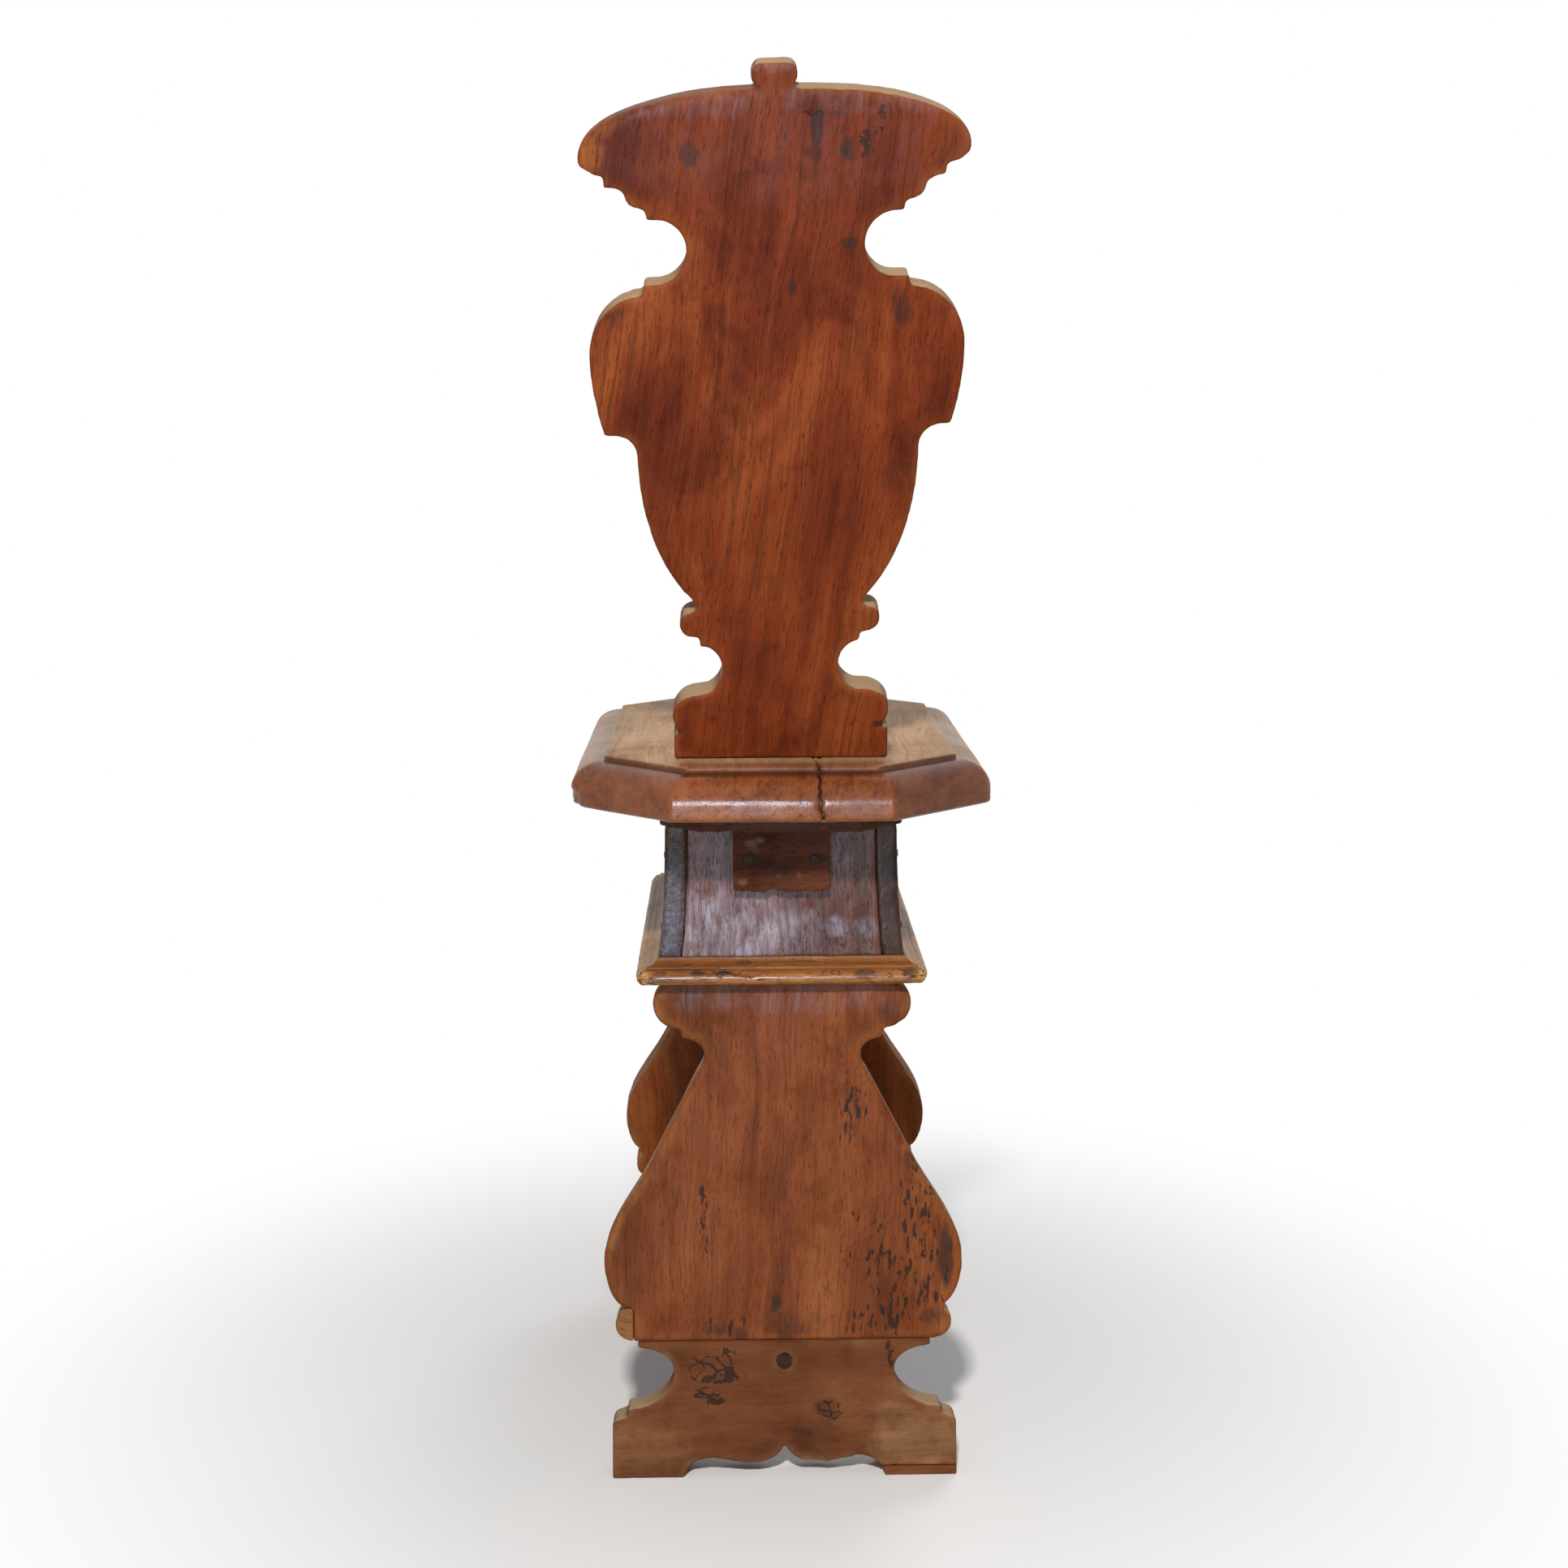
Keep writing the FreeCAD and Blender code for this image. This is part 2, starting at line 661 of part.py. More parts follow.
# Pins through the moulding into the edges of the bottom board, near each mitre and along the sides,
# with their heads punched flush, clear of one another and of the nails in the bottom board
pin_height = chair_underside + moulding_torus_radius
pin_inset = moulding_reach - nail_head_height
pin_end_gap = pin_length - pin_inset + pin_apart
pin_list = []
for turn in (1, -1):
    for along in (pin_end_gap - box_low_half_width, box_low_half_width - pin_end_gap):
        start = (along, turn * (box_low_half_depth + pin_inset), pin_height)
        pin_list.append(forged_nail(start, (0, -turn, 0), pin_length, pin_shank, pin_head))
    for along in (pin_end_gap - box_low_half_depth, bottom_nail_spread / 2, box_low_half_depth - pin_end_gap):
        start = (turn * (box_low_half_width + pin_inset), along, pin_height)
        pin_list.append(forged_nail(start, (-turn, 0, 0), pin_length, pin_shank, pin_head))
moulding_pins = Part.makeCompound(pin_list)
base_moulding_back = drilled(base_moulding_back, moulding_pins)
base_moulding_front = drilled(base_moulding_front, moulding_pins)
base_moulding_left = drilled(base_moulding_left, moulding_pins)
base_moulding_right = drilled(base_moulding_right, moulding_pins)
box_bottom_board = drilled(box_bottom_board, moulding_pins)

# The origin is on the floor under the middle of the chair's whole length
rear_reach = splat_rear + splat_height * math.sin(math.radians(splat_lean))
front_reach = max(seat_flat_half_depth + seat_reach, leg_foot_rear)
to_origin = FreeCAD.Vector(0, (front_reach - rear_reach) / 2, 0)

pieces = {
    "back_splat": back_splat,
    "splat_key": splat_key,
    "seat_board": seat_board,
    "box_top_board": box_top_board,
    "seat_dowels": seat_dowels,
    "rear_cleat": rear_cleat,
    "cleat_nails": cleat_nails,
    "box_back_panel": box_back_panel,
    "box_front_panel": box_front_panel,
    "box_left_side": box_left_side,
    "box_right_side": box_right_side,
    "box_bottom_board": box_bottom_board,
    "box_nails": box_nails,
    "bottom_nails": bottom_nails,
    "base_moulding_back": base_moulding_back,
    "base_moulding_front": base_moulding_front,
    "base_moulding_left": base_moulding_left,
    "base_moulding_right": base_moulding_right,
    "moulding_pins": moulding_pins,
    "rear_leg_board": rear_leg_board,
    "rear_foot_board": rear_foot_board,
    "rear_foot_peg": foot_peg,
    "rear_lobe_patch": rear_lobe_patch,
    "rear_foot_shim": rear_foot_shim,
    "front_leg_board": front_leg_board,
    "front_foot_board": front_foot_board,
    "front_foot_peg": front_foot_peg,
    "leg_wedges": leg_wedges,
}
os.makedirs("parts", exist_ok=True)
for name, shape in pieces.items():
    moved = shape.copy()
    moved.translate(to_origin)
    if not moved.isValid():
        raise ValueError("%s is not a valid solid" % name)
    moved.exportStep("parts/%s.step" % name)
    box = moved.BoundBox
    print("%-20s solids %2d  volume %8.0f  x %.1f to %.1f  y %.1f to %.1f  z %.1f to %.1f" % (
        name, len(moved.Solids), moved.Volume, box.XMin, box.XMax, box.YMin, box.YMax, box.ZMin, box.ZMax,
    ))
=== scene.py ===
import math
import bmesh
import bpy
import numpy as np
from mathutils import Matrix, Quaternion, Vector, noise

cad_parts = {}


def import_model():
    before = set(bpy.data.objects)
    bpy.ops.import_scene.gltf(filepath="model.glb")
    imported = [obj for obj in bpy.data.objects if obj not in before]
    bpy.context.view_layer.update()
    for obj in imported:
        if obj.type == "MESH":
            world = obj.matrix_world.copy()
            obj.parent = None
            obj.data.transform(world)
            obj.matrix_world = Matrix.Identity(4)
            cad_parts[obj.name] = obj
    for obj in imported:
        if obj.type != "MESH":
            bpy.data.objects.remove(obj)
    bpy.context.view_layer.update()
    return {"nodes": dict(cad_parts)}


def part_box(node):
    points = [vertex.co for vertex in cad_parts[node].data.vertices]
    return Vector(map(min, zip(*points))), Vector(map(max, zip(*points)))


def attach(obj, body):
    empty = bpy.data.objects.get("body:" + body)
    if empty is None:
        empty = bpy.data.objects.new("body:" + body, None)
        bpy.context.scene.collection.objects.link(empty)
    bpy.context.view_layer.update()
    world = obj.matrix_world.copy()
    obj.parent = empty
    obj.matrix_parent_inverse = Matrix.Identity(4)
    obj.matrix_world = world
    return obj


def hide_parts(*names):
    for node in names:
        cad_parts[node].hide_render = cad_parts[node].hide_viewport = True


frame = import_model()


# Legs: two walnut planks sawn to a baluster outline, one at the rear and one at the front, both splayed.
# They were cut with a bow saw and planed by hand, so faces are slightly wavy and every arris is worn round.
leg_splay = math.radians(8.0)
leg_cell = 0.0019
leg_wave = 0.0004
leg_chip = 0.0016


def sawn_plank(node, tilt, cell):
    """A fine, evenly divided skin over one plank, laid out square to the plank itself."""
    plank = frame["nodes"][node].data.copy()
    shape = bmesh.new()
    shape.from_mesh(plank)
    bmesh.ops.remove_doubles(shape, verts=shape.verts, dist=1e-6)
    shape.transform(Matrix.Rotation(-tilt, 4, "X"))
    shape.to_mesh(plank)
    shape.free()
    blank = bpy.data.objects.new("blank", plank)
    bpy.context.scene.collection.objects.link(blank)
    skin = blank.modifiers.new("skin", "REMESH")
    skin.mode = "VOXEL"
    skin.voxel_size = cell
    skin.use_smooth_shade = True
    graph = bpy.context.evaluated_depsgraph_get()
    mesh = bpy.data.meshes.new_from_object(blank.evaluated_get(graph))
    bpy.data.objects.remove(blank)
    mesh.transform(Matrix.Rotation(tilt, 4, "X"))
    return mesh


def spots(mesh):
    """Positions and outward directions of a mesh's points."""
    where = np.empty(len(mesh.vertices) * 3)
    mesh.vertices.foreach_get("co", where)
    facing = np.empty(len(mesh.vertices) * 3)
    mesh.vertex_normals.foreach_get("vector", facing)
    return where.reshape(-1, 3), facing.reshape(-1, 3)


def set_spots(mesh, where):
    mesh.vertices.foreach_set("co", where.ravel())
    mesh.update()


def eased(where, links, rounds):
    """The points, each drawn towards its neighbours, as handling rounds off a corner."""
    count = len(where)
    ends = np.concatenate([links[:, 0], links[:, 1]])
    others = np.concatenate([links[:, 1], links[:, 0]])
    neighbours = np.maximum(np.bincount(ends, minlength=count), 1)
    for _ in range(rounds):
        pulled = [np.bincount(ends, weights=where[others, axis], minlength=count) for axis in range(3)]
        where = np.stack(pulled, 1) / neighbours[:, None]
    return where


def ripple(where, frequency, seed):
    """Smooth noise from -1 to 1 at each point, with its own frequency along each axis."""
    moved = where * np.array(frequency) + np.array((seed * 7.31, seed * 3.17, seed * 5.73))
    return np.array([noise.noise(Vector(spot)) for spot in moved])


def record(mesh, name, values):
    mesh.attributes.new(name, "FLOAT", "POINT").data.foreach_set("value", np.clip(values, 0, 1))


def blotches(where, marks, seed):
    """How deeply each point is stained by a list of marks: (x, height, half width, half height, depth)."""
    amount = np.zeros(len(where))
    ragged = 0.5 * ripple(where, (90, 90, 60), seed) + 0.3 * ripple(where, (260, 260, 180), seed + 1)
    for x, height, half_width, half_height, depth in marks:
        far = ((where[:, 0] - x) / half_width) ** 2 + ((where[:, 2] - height) / half_height) ** 2
        amount = np.maximum(amount, depth * np.clip(1.25 - 0.8 * far + ragged, 0, 1))
    return amount


def aged(mesh, seed, wave, chip, rounds=2, seam=None, soft=None, dust_and_top_light=1.0,
         stains=(), flakes=(), pale=(), cracks=(), pale_marks_and_sheen=()):
    """Wears a plank: wavy faces, rounded and chipped arrises, painted shade in its concave corners, dust and
    painted top light on what faces up, and the places of the marks on its rear.

    A seam is a height where the plank meets another and stays crisp. Between the two heights of soft
    the plank is rubbed rounder."""
    where, facing = spots(mesh)
    links = np.empty(len(mesh.edges) * 2, int)
    mesh.edges.foreach_get("vertices", links)
    links = links.reshape(-1, 2)
    worn = eased(where, links, rounds)
    core = eased(worn, links, 14)
    corner = ((worn - core) * facing).sum(1)
    if soft is not None:
        start, stop = soft
        rubbed = np.clip((where[:, 2] - start) / 0.03, 0, 1) * np.clip((stop - where[:, 2]) / 0.004, 0, 1)
        rubbed = rubbed[:, None]
        worn = worn * (1 - rubbed) + eased(worn, links, 9) * rubbed
    arris = np.clip(corner / 0.0011, 0, 1)
    nibbled = np.clip(2.2 * ripple(where, (70, 70, 50), seed) - 0.55, 0, 1)
    planed = ripple(where, (16, 16, 5), seed + 4) + 0.35 * ripple(where, (60, 60, 22), seed + 5)
    sunk = chip * arris * nibbled - wave * planed
    worn -= facing * sunk[:, None]
    if seam is not None:
        away = np.clip(np.abs(where[:, 2] - seam) / 0.006, 0.1, 1)
        worn = where * (1 - away[:, None]) + worn * away[:, None]
        arris *= away
        corner *= away
        by_peg = np.hypot(where[:, 0], where[:, 2] - seam) < 0.04
        dust_and_top_light = np.where((away < 1) | by_peg, 0, dust_and_top_light)
    set_spots(mesh, worn)
    record(mesh, "arris", arris * (0.45 + 0.8 * nibbled))
    # Painted shade in concave corners
    record(mesh, "painted_shade", -corner / 0.0010)
    # Dust, with painted top light, paling what faces up
    record(mesh, "dust_and_top_light", dust_and_top_light * (facing[:, 2] - 0.45) / 0.35)
    rear = np.clip(facing[:, 1] * 3, 0, 1)
    for name, marks, later in (("stain", stains, 6), ("flake", flakes, 8), ("pale", pale, 10),
                               ("pale_marks_and_sheen", pale_marks_and_sheen, 12), ("crazed", cracks, 14)):
        record(mesh, name, rear * blotches(where, marks, seed + later))
    return mesh


def put(tree, kind, inputs=None, **settings):
    """A node with its settings, its plain values and its links; a short kind is a shader node."""
    node = tree.nodes.new(kind if "Node" in kind else "ShaderNode" + kind)
    for key, value in settings.items():
        setattr(node, key, value)
    for key, value in (inputs or {}).items():
        if isinstance(value, bpy.types.NodeSocket):
            tree.links.new(value, node.inputs[key])
        else:
            node.inputs[key].default_value = value
    return node


def reckon(tree, operation, first, second):
    return put(tree, "Math", {0: first, 1: second}, operation=operation).outputs[0]


def plus(tree, first, second):
    return reckon(tree, "ADD", first, second)


def times(tree, first, second):
    return reckon(tree, "MULTIPLY", first, second)


def tinted(tree, amount, base, over):
    return put(tree, "Mix", {0: amount, 6: base, 7: over}, data_type="RGBA").outputs[2]


def between(tree, value, low, high, to_low=0.0, to_high=1.0):
    """A soft step of a value from one level to another."""
    inputs = {0: value, 1: low, 2: high, 3: to_low, 4: to_high}
    return put(tree, "MapRange", inputs, interpolation_type="SMOOTHSTEP").outputs[0]


def rough_noise(tree, place, scale, detail, roughness=0.55, distortion=0.0):
    inputs = {"Vector": place, "Scale": scale, "Detail": detail, "Roughness": roughness,
              "Distortion": distortion}
    return put(tree, "TexNoise", inputs).outputs["Fac"]


def deeper(colour, share):
    return (*[share * part for part in colour[:3]], 1)


def old_walnut(name, grain, slant, offset, colours, roughness, specular, grime=0.5, depth=1.0, worm=0.0,
               contrast=1.0, worn=None, pale_mark_and_sheen_tone=(0.34, 0.30, 0.36), stripe=0.6):
    """Walnut with streaks along its grain, pores, painted shade in the hollows, worn arrises, stains, flakes,
    pale marks with painted sheen, and dust with painted top light.
    """
    dark, middle, light = [(*colour, 1) for colour in colours]
    shade = deeper(dark, 0.35)
    bare = (*(worn or (light[0] * 1.35, light[1] * 1.75, light[2] * 1.9)), 1)
    ink = (0.026, 0.015, 0.012, 1)
    dust_and_top_light_tone = (0.46, 0.33, 0.20, 1)
    hole_black = (0.008, 0.005, 0.004, 1)
    material = bpy.data.materials.new(name)
    material.use_nodes = True
    tree = material.node_tree
    shader = tree.nodes["Principled BSDF"]

    # Place in the wood: turned with the plank and strayed, so that no streak runs dead straight
    place = put(tree, "TexCoord").outputs["Object"]
    start = (offset, offset * 0.7, offset * 1.3)
    place = put(tree, "Mapping", {"Vector": place, "Location": start, "Rotation": slant}).outputs[0]
    stray = put(tree, "TexNoise", {"Vector": place, "Scale": 7, "Detail": 2}).outputs["Color"]
    stray = put(tree, "VectorMath", {0: stray, 1: (0.5, 0.5, 0.5)}, operation="SUBTRACT").outputs[0]
    stray = put(tree, "VectorMath", {0: stray, 1: (0.018, 0.018, 0.018)}, operation="MULTIPLY").outputs[0]
    place = put(tree, "VectorMath", {0: place, 1: stray}, operation="ADD").outputs[0]

    def drawn_out(share):
        along = [1.0, 1.0, 1.0]
        along["XYZ".index(grain)] = share
        return put(tree, "VectorMath", {0: place, 1: along}, operation="MULTIPLY").outputs[0]

    def mark(kind):
        return put(tree, "Attribute", attribute_name=kind).outputs["Fac"]

    patches = rough_noise(tree, drawn_out(0.35), 13, 5, 0.6, 0.6)
    bands = rough_noise(tree, drawn_out(0.04), 70, 4, 0.6, 0.7)
    lines = rough_noise(tree, drawn_out(0.014), 300, 3, 0.6, 0.1)
    pores = rough_noise(tree, drawn_out(0.10), 1100, 1)
    ripples = rough_noise(tree, drawn_out(0.5), 70, 1)
    smear = rough_noise(tree, drawn_out(0.45), 85, 6, 0.7, 0.6)
    scales = rough_noise(tree, drawn_out(0.30), 300, 3, 0.5)
    mottle = rough_noise(tree, place, 17, 6, 0.62, 0.4)
    grit = rough_noise(tree, place, 800, 3)

    # Figure of the grain, from dark to light, and the paler grain of bare wood
    figure = times(tree, patches, 1 - 0.7 * stripe)
    figure = plus(tree, figure, times(tree, bands, 0.34 * stripe))
    figure = plus(tree, figure, times(tree, lines, 0.36 * stripe))
    ramp = put(tree, "ValToRGB", {0: figure})
    stops = ramp.color_ramp.elements
    stops[0].position = 0.40
    stops[0].color = dark
    stops[1].position = 0.61
    stops[1].color = light
    stops.new(0.5).color = middle
    pale = mark("pale")
    bare_grain = tinted(tree, between(tree, figure, 0.44, 0.58), deeper(bare, 0.68), bare)
    colour = tinted(tree, pale, ramp.outputs[0], bare_grain)

    # Grime, fine lines, pores, painted shade in the hollows and rubbed arrises
    colour = tinted(tree, between(tree, mottle, 0.50, 0.75, 0, grime), colour, shade)
    colour = tinted(tree, between(tree, lines, 0.50, 0.66, 0, 0.6 * contrast), colour, shade)
    pore = between(tree, pores, 0.58, 0.72)
    colour = tinted(tree, times(tree, pore, 0.7 * contrast), colour, shade)
    colour = tinted(tree, times(tree, mark("painted_shade"), 0.8), colour, shade)
    rubbed = times(tree, mark("arris"), between(tree, mottle, 0.35, 0.60))
    colour = tinted(tree, times(tree, rubbed, 0.55), colour, bare)

    # Black stains, a net of short cracks and flakes of old varnish
    blot = between(tree, times(tree, mark("stain"), smear), 0.12, 0.50)
    colour = tinted(tree, times(tree, blot, 0.75), colour, ink)
    bend = put(tree, "TexNoise", {"Vector": place, "Scale": 40}).outputs[1]
    warped = put(tree, "MixRGB", {0: 0.03, 1: place, 2: bend}).outputs[0]
    net = put(tree, "TexVoronoi", {"Vector": warped, "Scale": 120}, feature="DISTANCE_TO_EDGE").outputs[0]
    from_net = reckon(tree, "SUBTRACT", net, times(tree, plus(tree, smear, -0.37), 0.6))
    split = times(tree, between(tree, from_net, -0.01, 0.03, 1, 0), between(tree, mark("crazed"), 0.25, 0.55))
    colour = tinted(tree, times(tree, split, 0.85), colour, ink)
    flake = mark("flake")
    scab = between(tree, plus(tree, scales, times(tree, flake, 0.17)), 0.70, 0.735)
    scab = times(tree, scab, between(tree, flake, 0.02, 0.2))
    colour = tinted(tree, times(tree, scab, 0.9), colour, ink)
    if worm:
        cell = put(tree, "TexVoronoi", {"Vector": place, "Scale": 75}, feature="F1")
        draw = put(tree, "SeparateColor", {0: cell.outputs["Color"]}).outputs[0]
        chosen = between(tree, draw, 1 - worm, 1.01 - worm)
        hole = times(tree, between(tree, cell.outputs["Distance"], 0.05, 0.08, 1, 0), chosen)
        colour = tinted(tree, hole, colour, hole_black)

    # Pale marks of wax haze and scrapes, with painted sheen and glints, then dust and painted top light on
    # what faces up
    streaks_and_glints = times(tree, between(tree, smear, 0.30, 0.66), between(tree, lines, 0.36, 0.58, 1, 0.45))
    colour = tinted(tree, times(tree, mark("pale_marks_and_sheen"), streaks_and_glints), colour, (*pale_mark_and_sheen_tone, 1))
    dust_and_top_light = times(tree, mark("dust_and_top_light"), between(tree, mottle, 0.3, 0.65, 0.95, 0.75))
    colour = tinted(tree, dust_and_top_light, colour, dust_and_top_light_tone)
    tree.links.new(colour, shader.inputs["Base Color"])

    # Shine: duller along the lines, in the grime, on bare wood and under the dust and painted top light
    dull = plus(tree, times(tree, lines, 0.2), roughness - 0.10)
    dull = plus(tree, dull, between(tree, mottle, 0.4, 0.7, -0.04, 0.10))
    dull = plus(tree, dull, times(tree, reckon(tree, "MAXIMUM", pale, dust_and_top_light), 0.35))
    tree.links.new(dull, shader.inputs["Roughness"])
    shader.inputs["Specular IOR Level"].default_value = specular

    # Relief too fine for the mesh
    relief = times(tree, lines, 0.4)
    for layer, share in ((pore, -0.35), (grit, 0.08), (ripples, 1.2), (scab, 0.5), (split, -1.0)):
        relief = plus(tree, relief, times(tree, layer, share))
    if worm:
        relief = reckon(tree, "SUBTRACT", relief, hole)
    bump = put(tree, "Bump", {"Height": relief, "Strength": 0.6, "Distance": 0.0006 * depth})
    tree.links.new(bump.outputs[0], shader.inputs["Normal"])
    return material


def set_in_place(mesh, name, material, slot, *nodes):
    """Makes the finished piece, which stands for the CAD nodes of the same place."""
    mesh.materials.clear()
    mesh.materials.append(material)
    piece = bpy.data.objects.new(name, mesh)
    bpy.context.scene.collection.objects.link(piece)
    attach(piece, "root")
    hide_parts(*nodes)


leg_colours = ((0.110, 0.026, 0.006), (0.205, 0.052, 0.013), (0.295, 0.092, 0.026))
rear_leg_walnut = old_walnut("rear_leg_walnut", "Z", (-leg_splay, math.radians(3), 0), 0.4, leg_colours,
                             roughness=0.5, specular=0.038, contrast=0.7)
front_leg_walnut = old_walnut("front_leg_walnut", "Z", (leg_splay, math.radians(-2), 0), 0.9, leg_colours,
                              roughness=0.5, specular=0.038, contrast=0.7)
foot_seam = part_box("rear_foot_board")[1].z
rear_leg_stains = [
    (0.063, 0.214, 0.003, 0.026, 0.5), (0.062, 0.186, 0.004, 0.010, 0.7), (-0.054, 0.298, 0.010, 0.012, 0.45),
    (-0.051, 0.272, 0.007, 0.008, 0.6), (-0.100, 0.247, 0.008, 0.010, 0.6),
    (-0.006, 0.121, 0.032, 0.012, 0.55), (0.006, 0.137, 0.004, 0.009, 0.9),
    (-0.060, 0.150, 0.030, 0.012, 0.35), (0.092, 0.370, 0.006, 0.012, 0.5),
    (0.070, 0.374, 0.010, 0.014, 0.55), (-0.085, 0.366, 0.012, 0.012, 0.6), (0.052, 0.116, 0.014, 0.006, 0.7),
    (0.038, 0.113, 0.010, 0.006, 0.8), (-0.128, 0.172, 0.007, 0.028, 0.9), (-0.118, 0.126, 0.010, 0.009, 0.7),
]
rear_leg_flakes = [
    (-0.106, 0.205, 0.016, 0.044, 1.0), (-0.100, 0.152, 0.034, 0.024, 1.0),
    (-0.072, 0.124, 0.026, 0.014, 0.9), (-0.054, 0.296, 0.013, 0.020, 1.0),
    (-0.050, 0.272, 0.010, 0.010, 0.9), (0.063, 0.205, 0.005, 0.034, 1.0), (0.046, 0.122, 0.014, 0.014, 0.8),
    (-0.062, 0.180, 0.018, 0.030, 0.6), (-0.112, 0.232, 0.018, 0.020, 0.9),
]
# The pale marks at the leg's top are a painted sheen
rear_leg = aged(sawn_plank("rear_leg_board", leg_splay, leg_cell), 3, leg_wave, leg_chip, seam=foot_seam,
                stains=rear_leg_stains, flakes=rear_leg_flakes, pale_marks_and_sheen=[(0.0, 0.380, 0.110, 0.015, 0.26)])
set_in_place(rear_leg, "rear_leg", rear_leg_walnut, "leg_walnut", "rear_leg_board")
front_leg_stains = [(0.120, 0.250, 0.010, 0.030, 0.6), (-0.110, 0.270, 0.010, 0.040, 0.6)]
front_leg_flakes = [(-0.100, 0.275, 0.020, 0.040, 1.0), (0.118, 0.275, 0.014, 0.030, 0.9)]
front_leg = aged(sawn_plank("front_leg_board", -leg_splay, leg_cell), 11, leg_wave, leg_chip, seam=foot_seam,
                 stains=front_leg_stains, flakes=front_leg_flakes)
set_in_place(front_leg, "front_leg", front_leg_walnut, "leg_walnut", "front_leg_board")


# Foot boards: a separate walnut board under each leg, its grain lying level, slotted over the leg's tongue.
# They have stood on wet floors, so they are greyer, rubbed pale at the bottom and blackened in places.
# A thin plate of the same wood levels one rear foot.
foot_cell = 0.0016
foot_dust_and_light = 0.65
small_cell = 0.0009
small_wave = 0.0002
small_chip = 0.0008
foot_colours = ((0.098, 0.030, 0.010), (0.155, 0.050, 0.018), (0.205, 0.077, 0.029))
foot_walnut = old_walnut("foot_walnut", "X", (0, math.radians(-2), 0), 1.7, foot_colours, roughness=0.6,
                         specular=0.03, contrast=0.35, worn=(0.36, 0.185, 0.085), stripe=0.25)
rear_foot_stains = [
    (0.064, 0.088, 0.012, 0.010, 0.45), (0.050, 0.080, 0.016, 0.006, 0.40),
    (0.060, 0.064, 0.011, 0.006, 0.50), (-0.034, 0.053, 0.012, 0.010, 0.7),
    (-0.033, 0.040, 0.008, 0.008, 0.6), (-0.022, 0.032, 0.028, 0.010, 0.5),
    (-0.075, 0.043, 0.022, 0.014, 0.4), (0.0, 0.089, 0.009, 0.009, 0.55), (-0.084, 0.100, 0.002, 0.016, 0.8),
]
rear_foot_pale = [
    (-0.105, 0.026, 0.036, 0.024, 0.80), (-0.085, 0.052, 0.020, 0.006, 0.4),
    (-0.100, 0.048, 0.012, 0.004, 0.5), (0.112, 0.022, 0.032, 0.020, 0.40),
]
rear_foot_cracks = [
    (0.062, 0.088, 0.012, 0.012, 1.0), (0.050, 0.082, 0.018, 0.008, 1.0), (0.060, 0.064, 0.012, 0.007, 1.0),
    (0.044, 0.095, 0.006, 0.009, 1.0), (-0.036, 0.052, 0.010, 0.008, 0.8), (-0.084, 0.100, 0.003, 0.020, 1.0),
]
rear_foot = aged(sawn_plank("rear_foot_board", leg_splay, foot_cell), 5, leg_wave, leg_chip, seam=foot_seam,
                 dust_and_top_light=foot_dust_and_light, stains=rear_foot_stains, pale=rear_foot_pale, cracks=rear_foot_cracks)
set_in_place(rear_foot, "rear_foot", foot_walnut, "foot_walnut", "rear_foot_board")
front_foot = aged(sawn_plank("front_foot_board", -leg_splay, foot_cell), 17, leg_wave, leg_chip,
                  seam=foot_seam, dust_and_top_light=foot_dust_and_light)
set_in_place(front_foot, "front_foot", foot_walnut, "foot_walnut", "front_foot_board")
shim = aged(sawn_plank("rear_foot_shim", leg_splay, small_cell), 19, small_wave, small_chip, dust_and_top_light=0)
set_in_place(shim, "foot_shim", foot_walnut, "foot_walnut", "rear_foot_shim")


# Lobe patch: one lobe of the rear leg broke off and was pieced in again with lighter, plainer wood.
# The seam is left open by a hair and the new lobe is less worn than the rest.
patch_colours = ((0.17, 0.060, 0.019), (0.25, 0.098, 0.034), (0.31, 0.135, 0.052))
patch_wood = old_walnut("patch_wood", "X", (0, math.radians(5), 0), 2.6, patch_colours, roughness=0.55,
                        specular=0.04, grime=0.25)
patch = aged(sawn_plank("rear_lobe_patch", leg_splay, small_cell), 23, small_wave, small_chip, rounds=4,
             dust_and_top_light=0.2)
set_in_place(patch, "lobe_patch", patch_wood, "repair_wood", "rear_lobe_patch")


# Foot pegs: a round oak plug through each foot board and the leg's tongue, cut flush and black with dirt.
# Their shape is exact as turned, so the solids stay and only get the dark end-grain finish.
peg_colours = ((0.040, 0.016, 0.008), (0.085, 0.034, 0.015), (0.135, 0.056, 0.025))
peg_wood = old_walnut("peg_end_grain", "Y", (0, 0, 0), 3.3, peg_colours, roughness=0.6, specular=0.05)
for peg in ("rear_foot_peg", "front_foot_peg"):
    frame["nodes"][peg].material_slots[0].material = peg_wood


# Bottom board and hidden joinery: the plain board that closes the box, with the leg tenons wedged through it.
# Board, wedges, dowels and key are unfinished wood, and only the board's underside shows, between the legs.
plain_colours = ((0.13, 0.060, 0.028), (0.20, 0.098, 0.048), (0.26, 0.140, 0.072))
plain_wood = old_walnut("plain_wood", "Y", (0, 0, math.radians(1)), 4.1, plain_colours, roughness=0.7,
                        specular=0.05)
for hidden in ("box_bottom_board", "leg_wedges", "seat_dowels", "splat_key"):
    frame["nodes"][hidden].material_slots[0].material = plain_wood


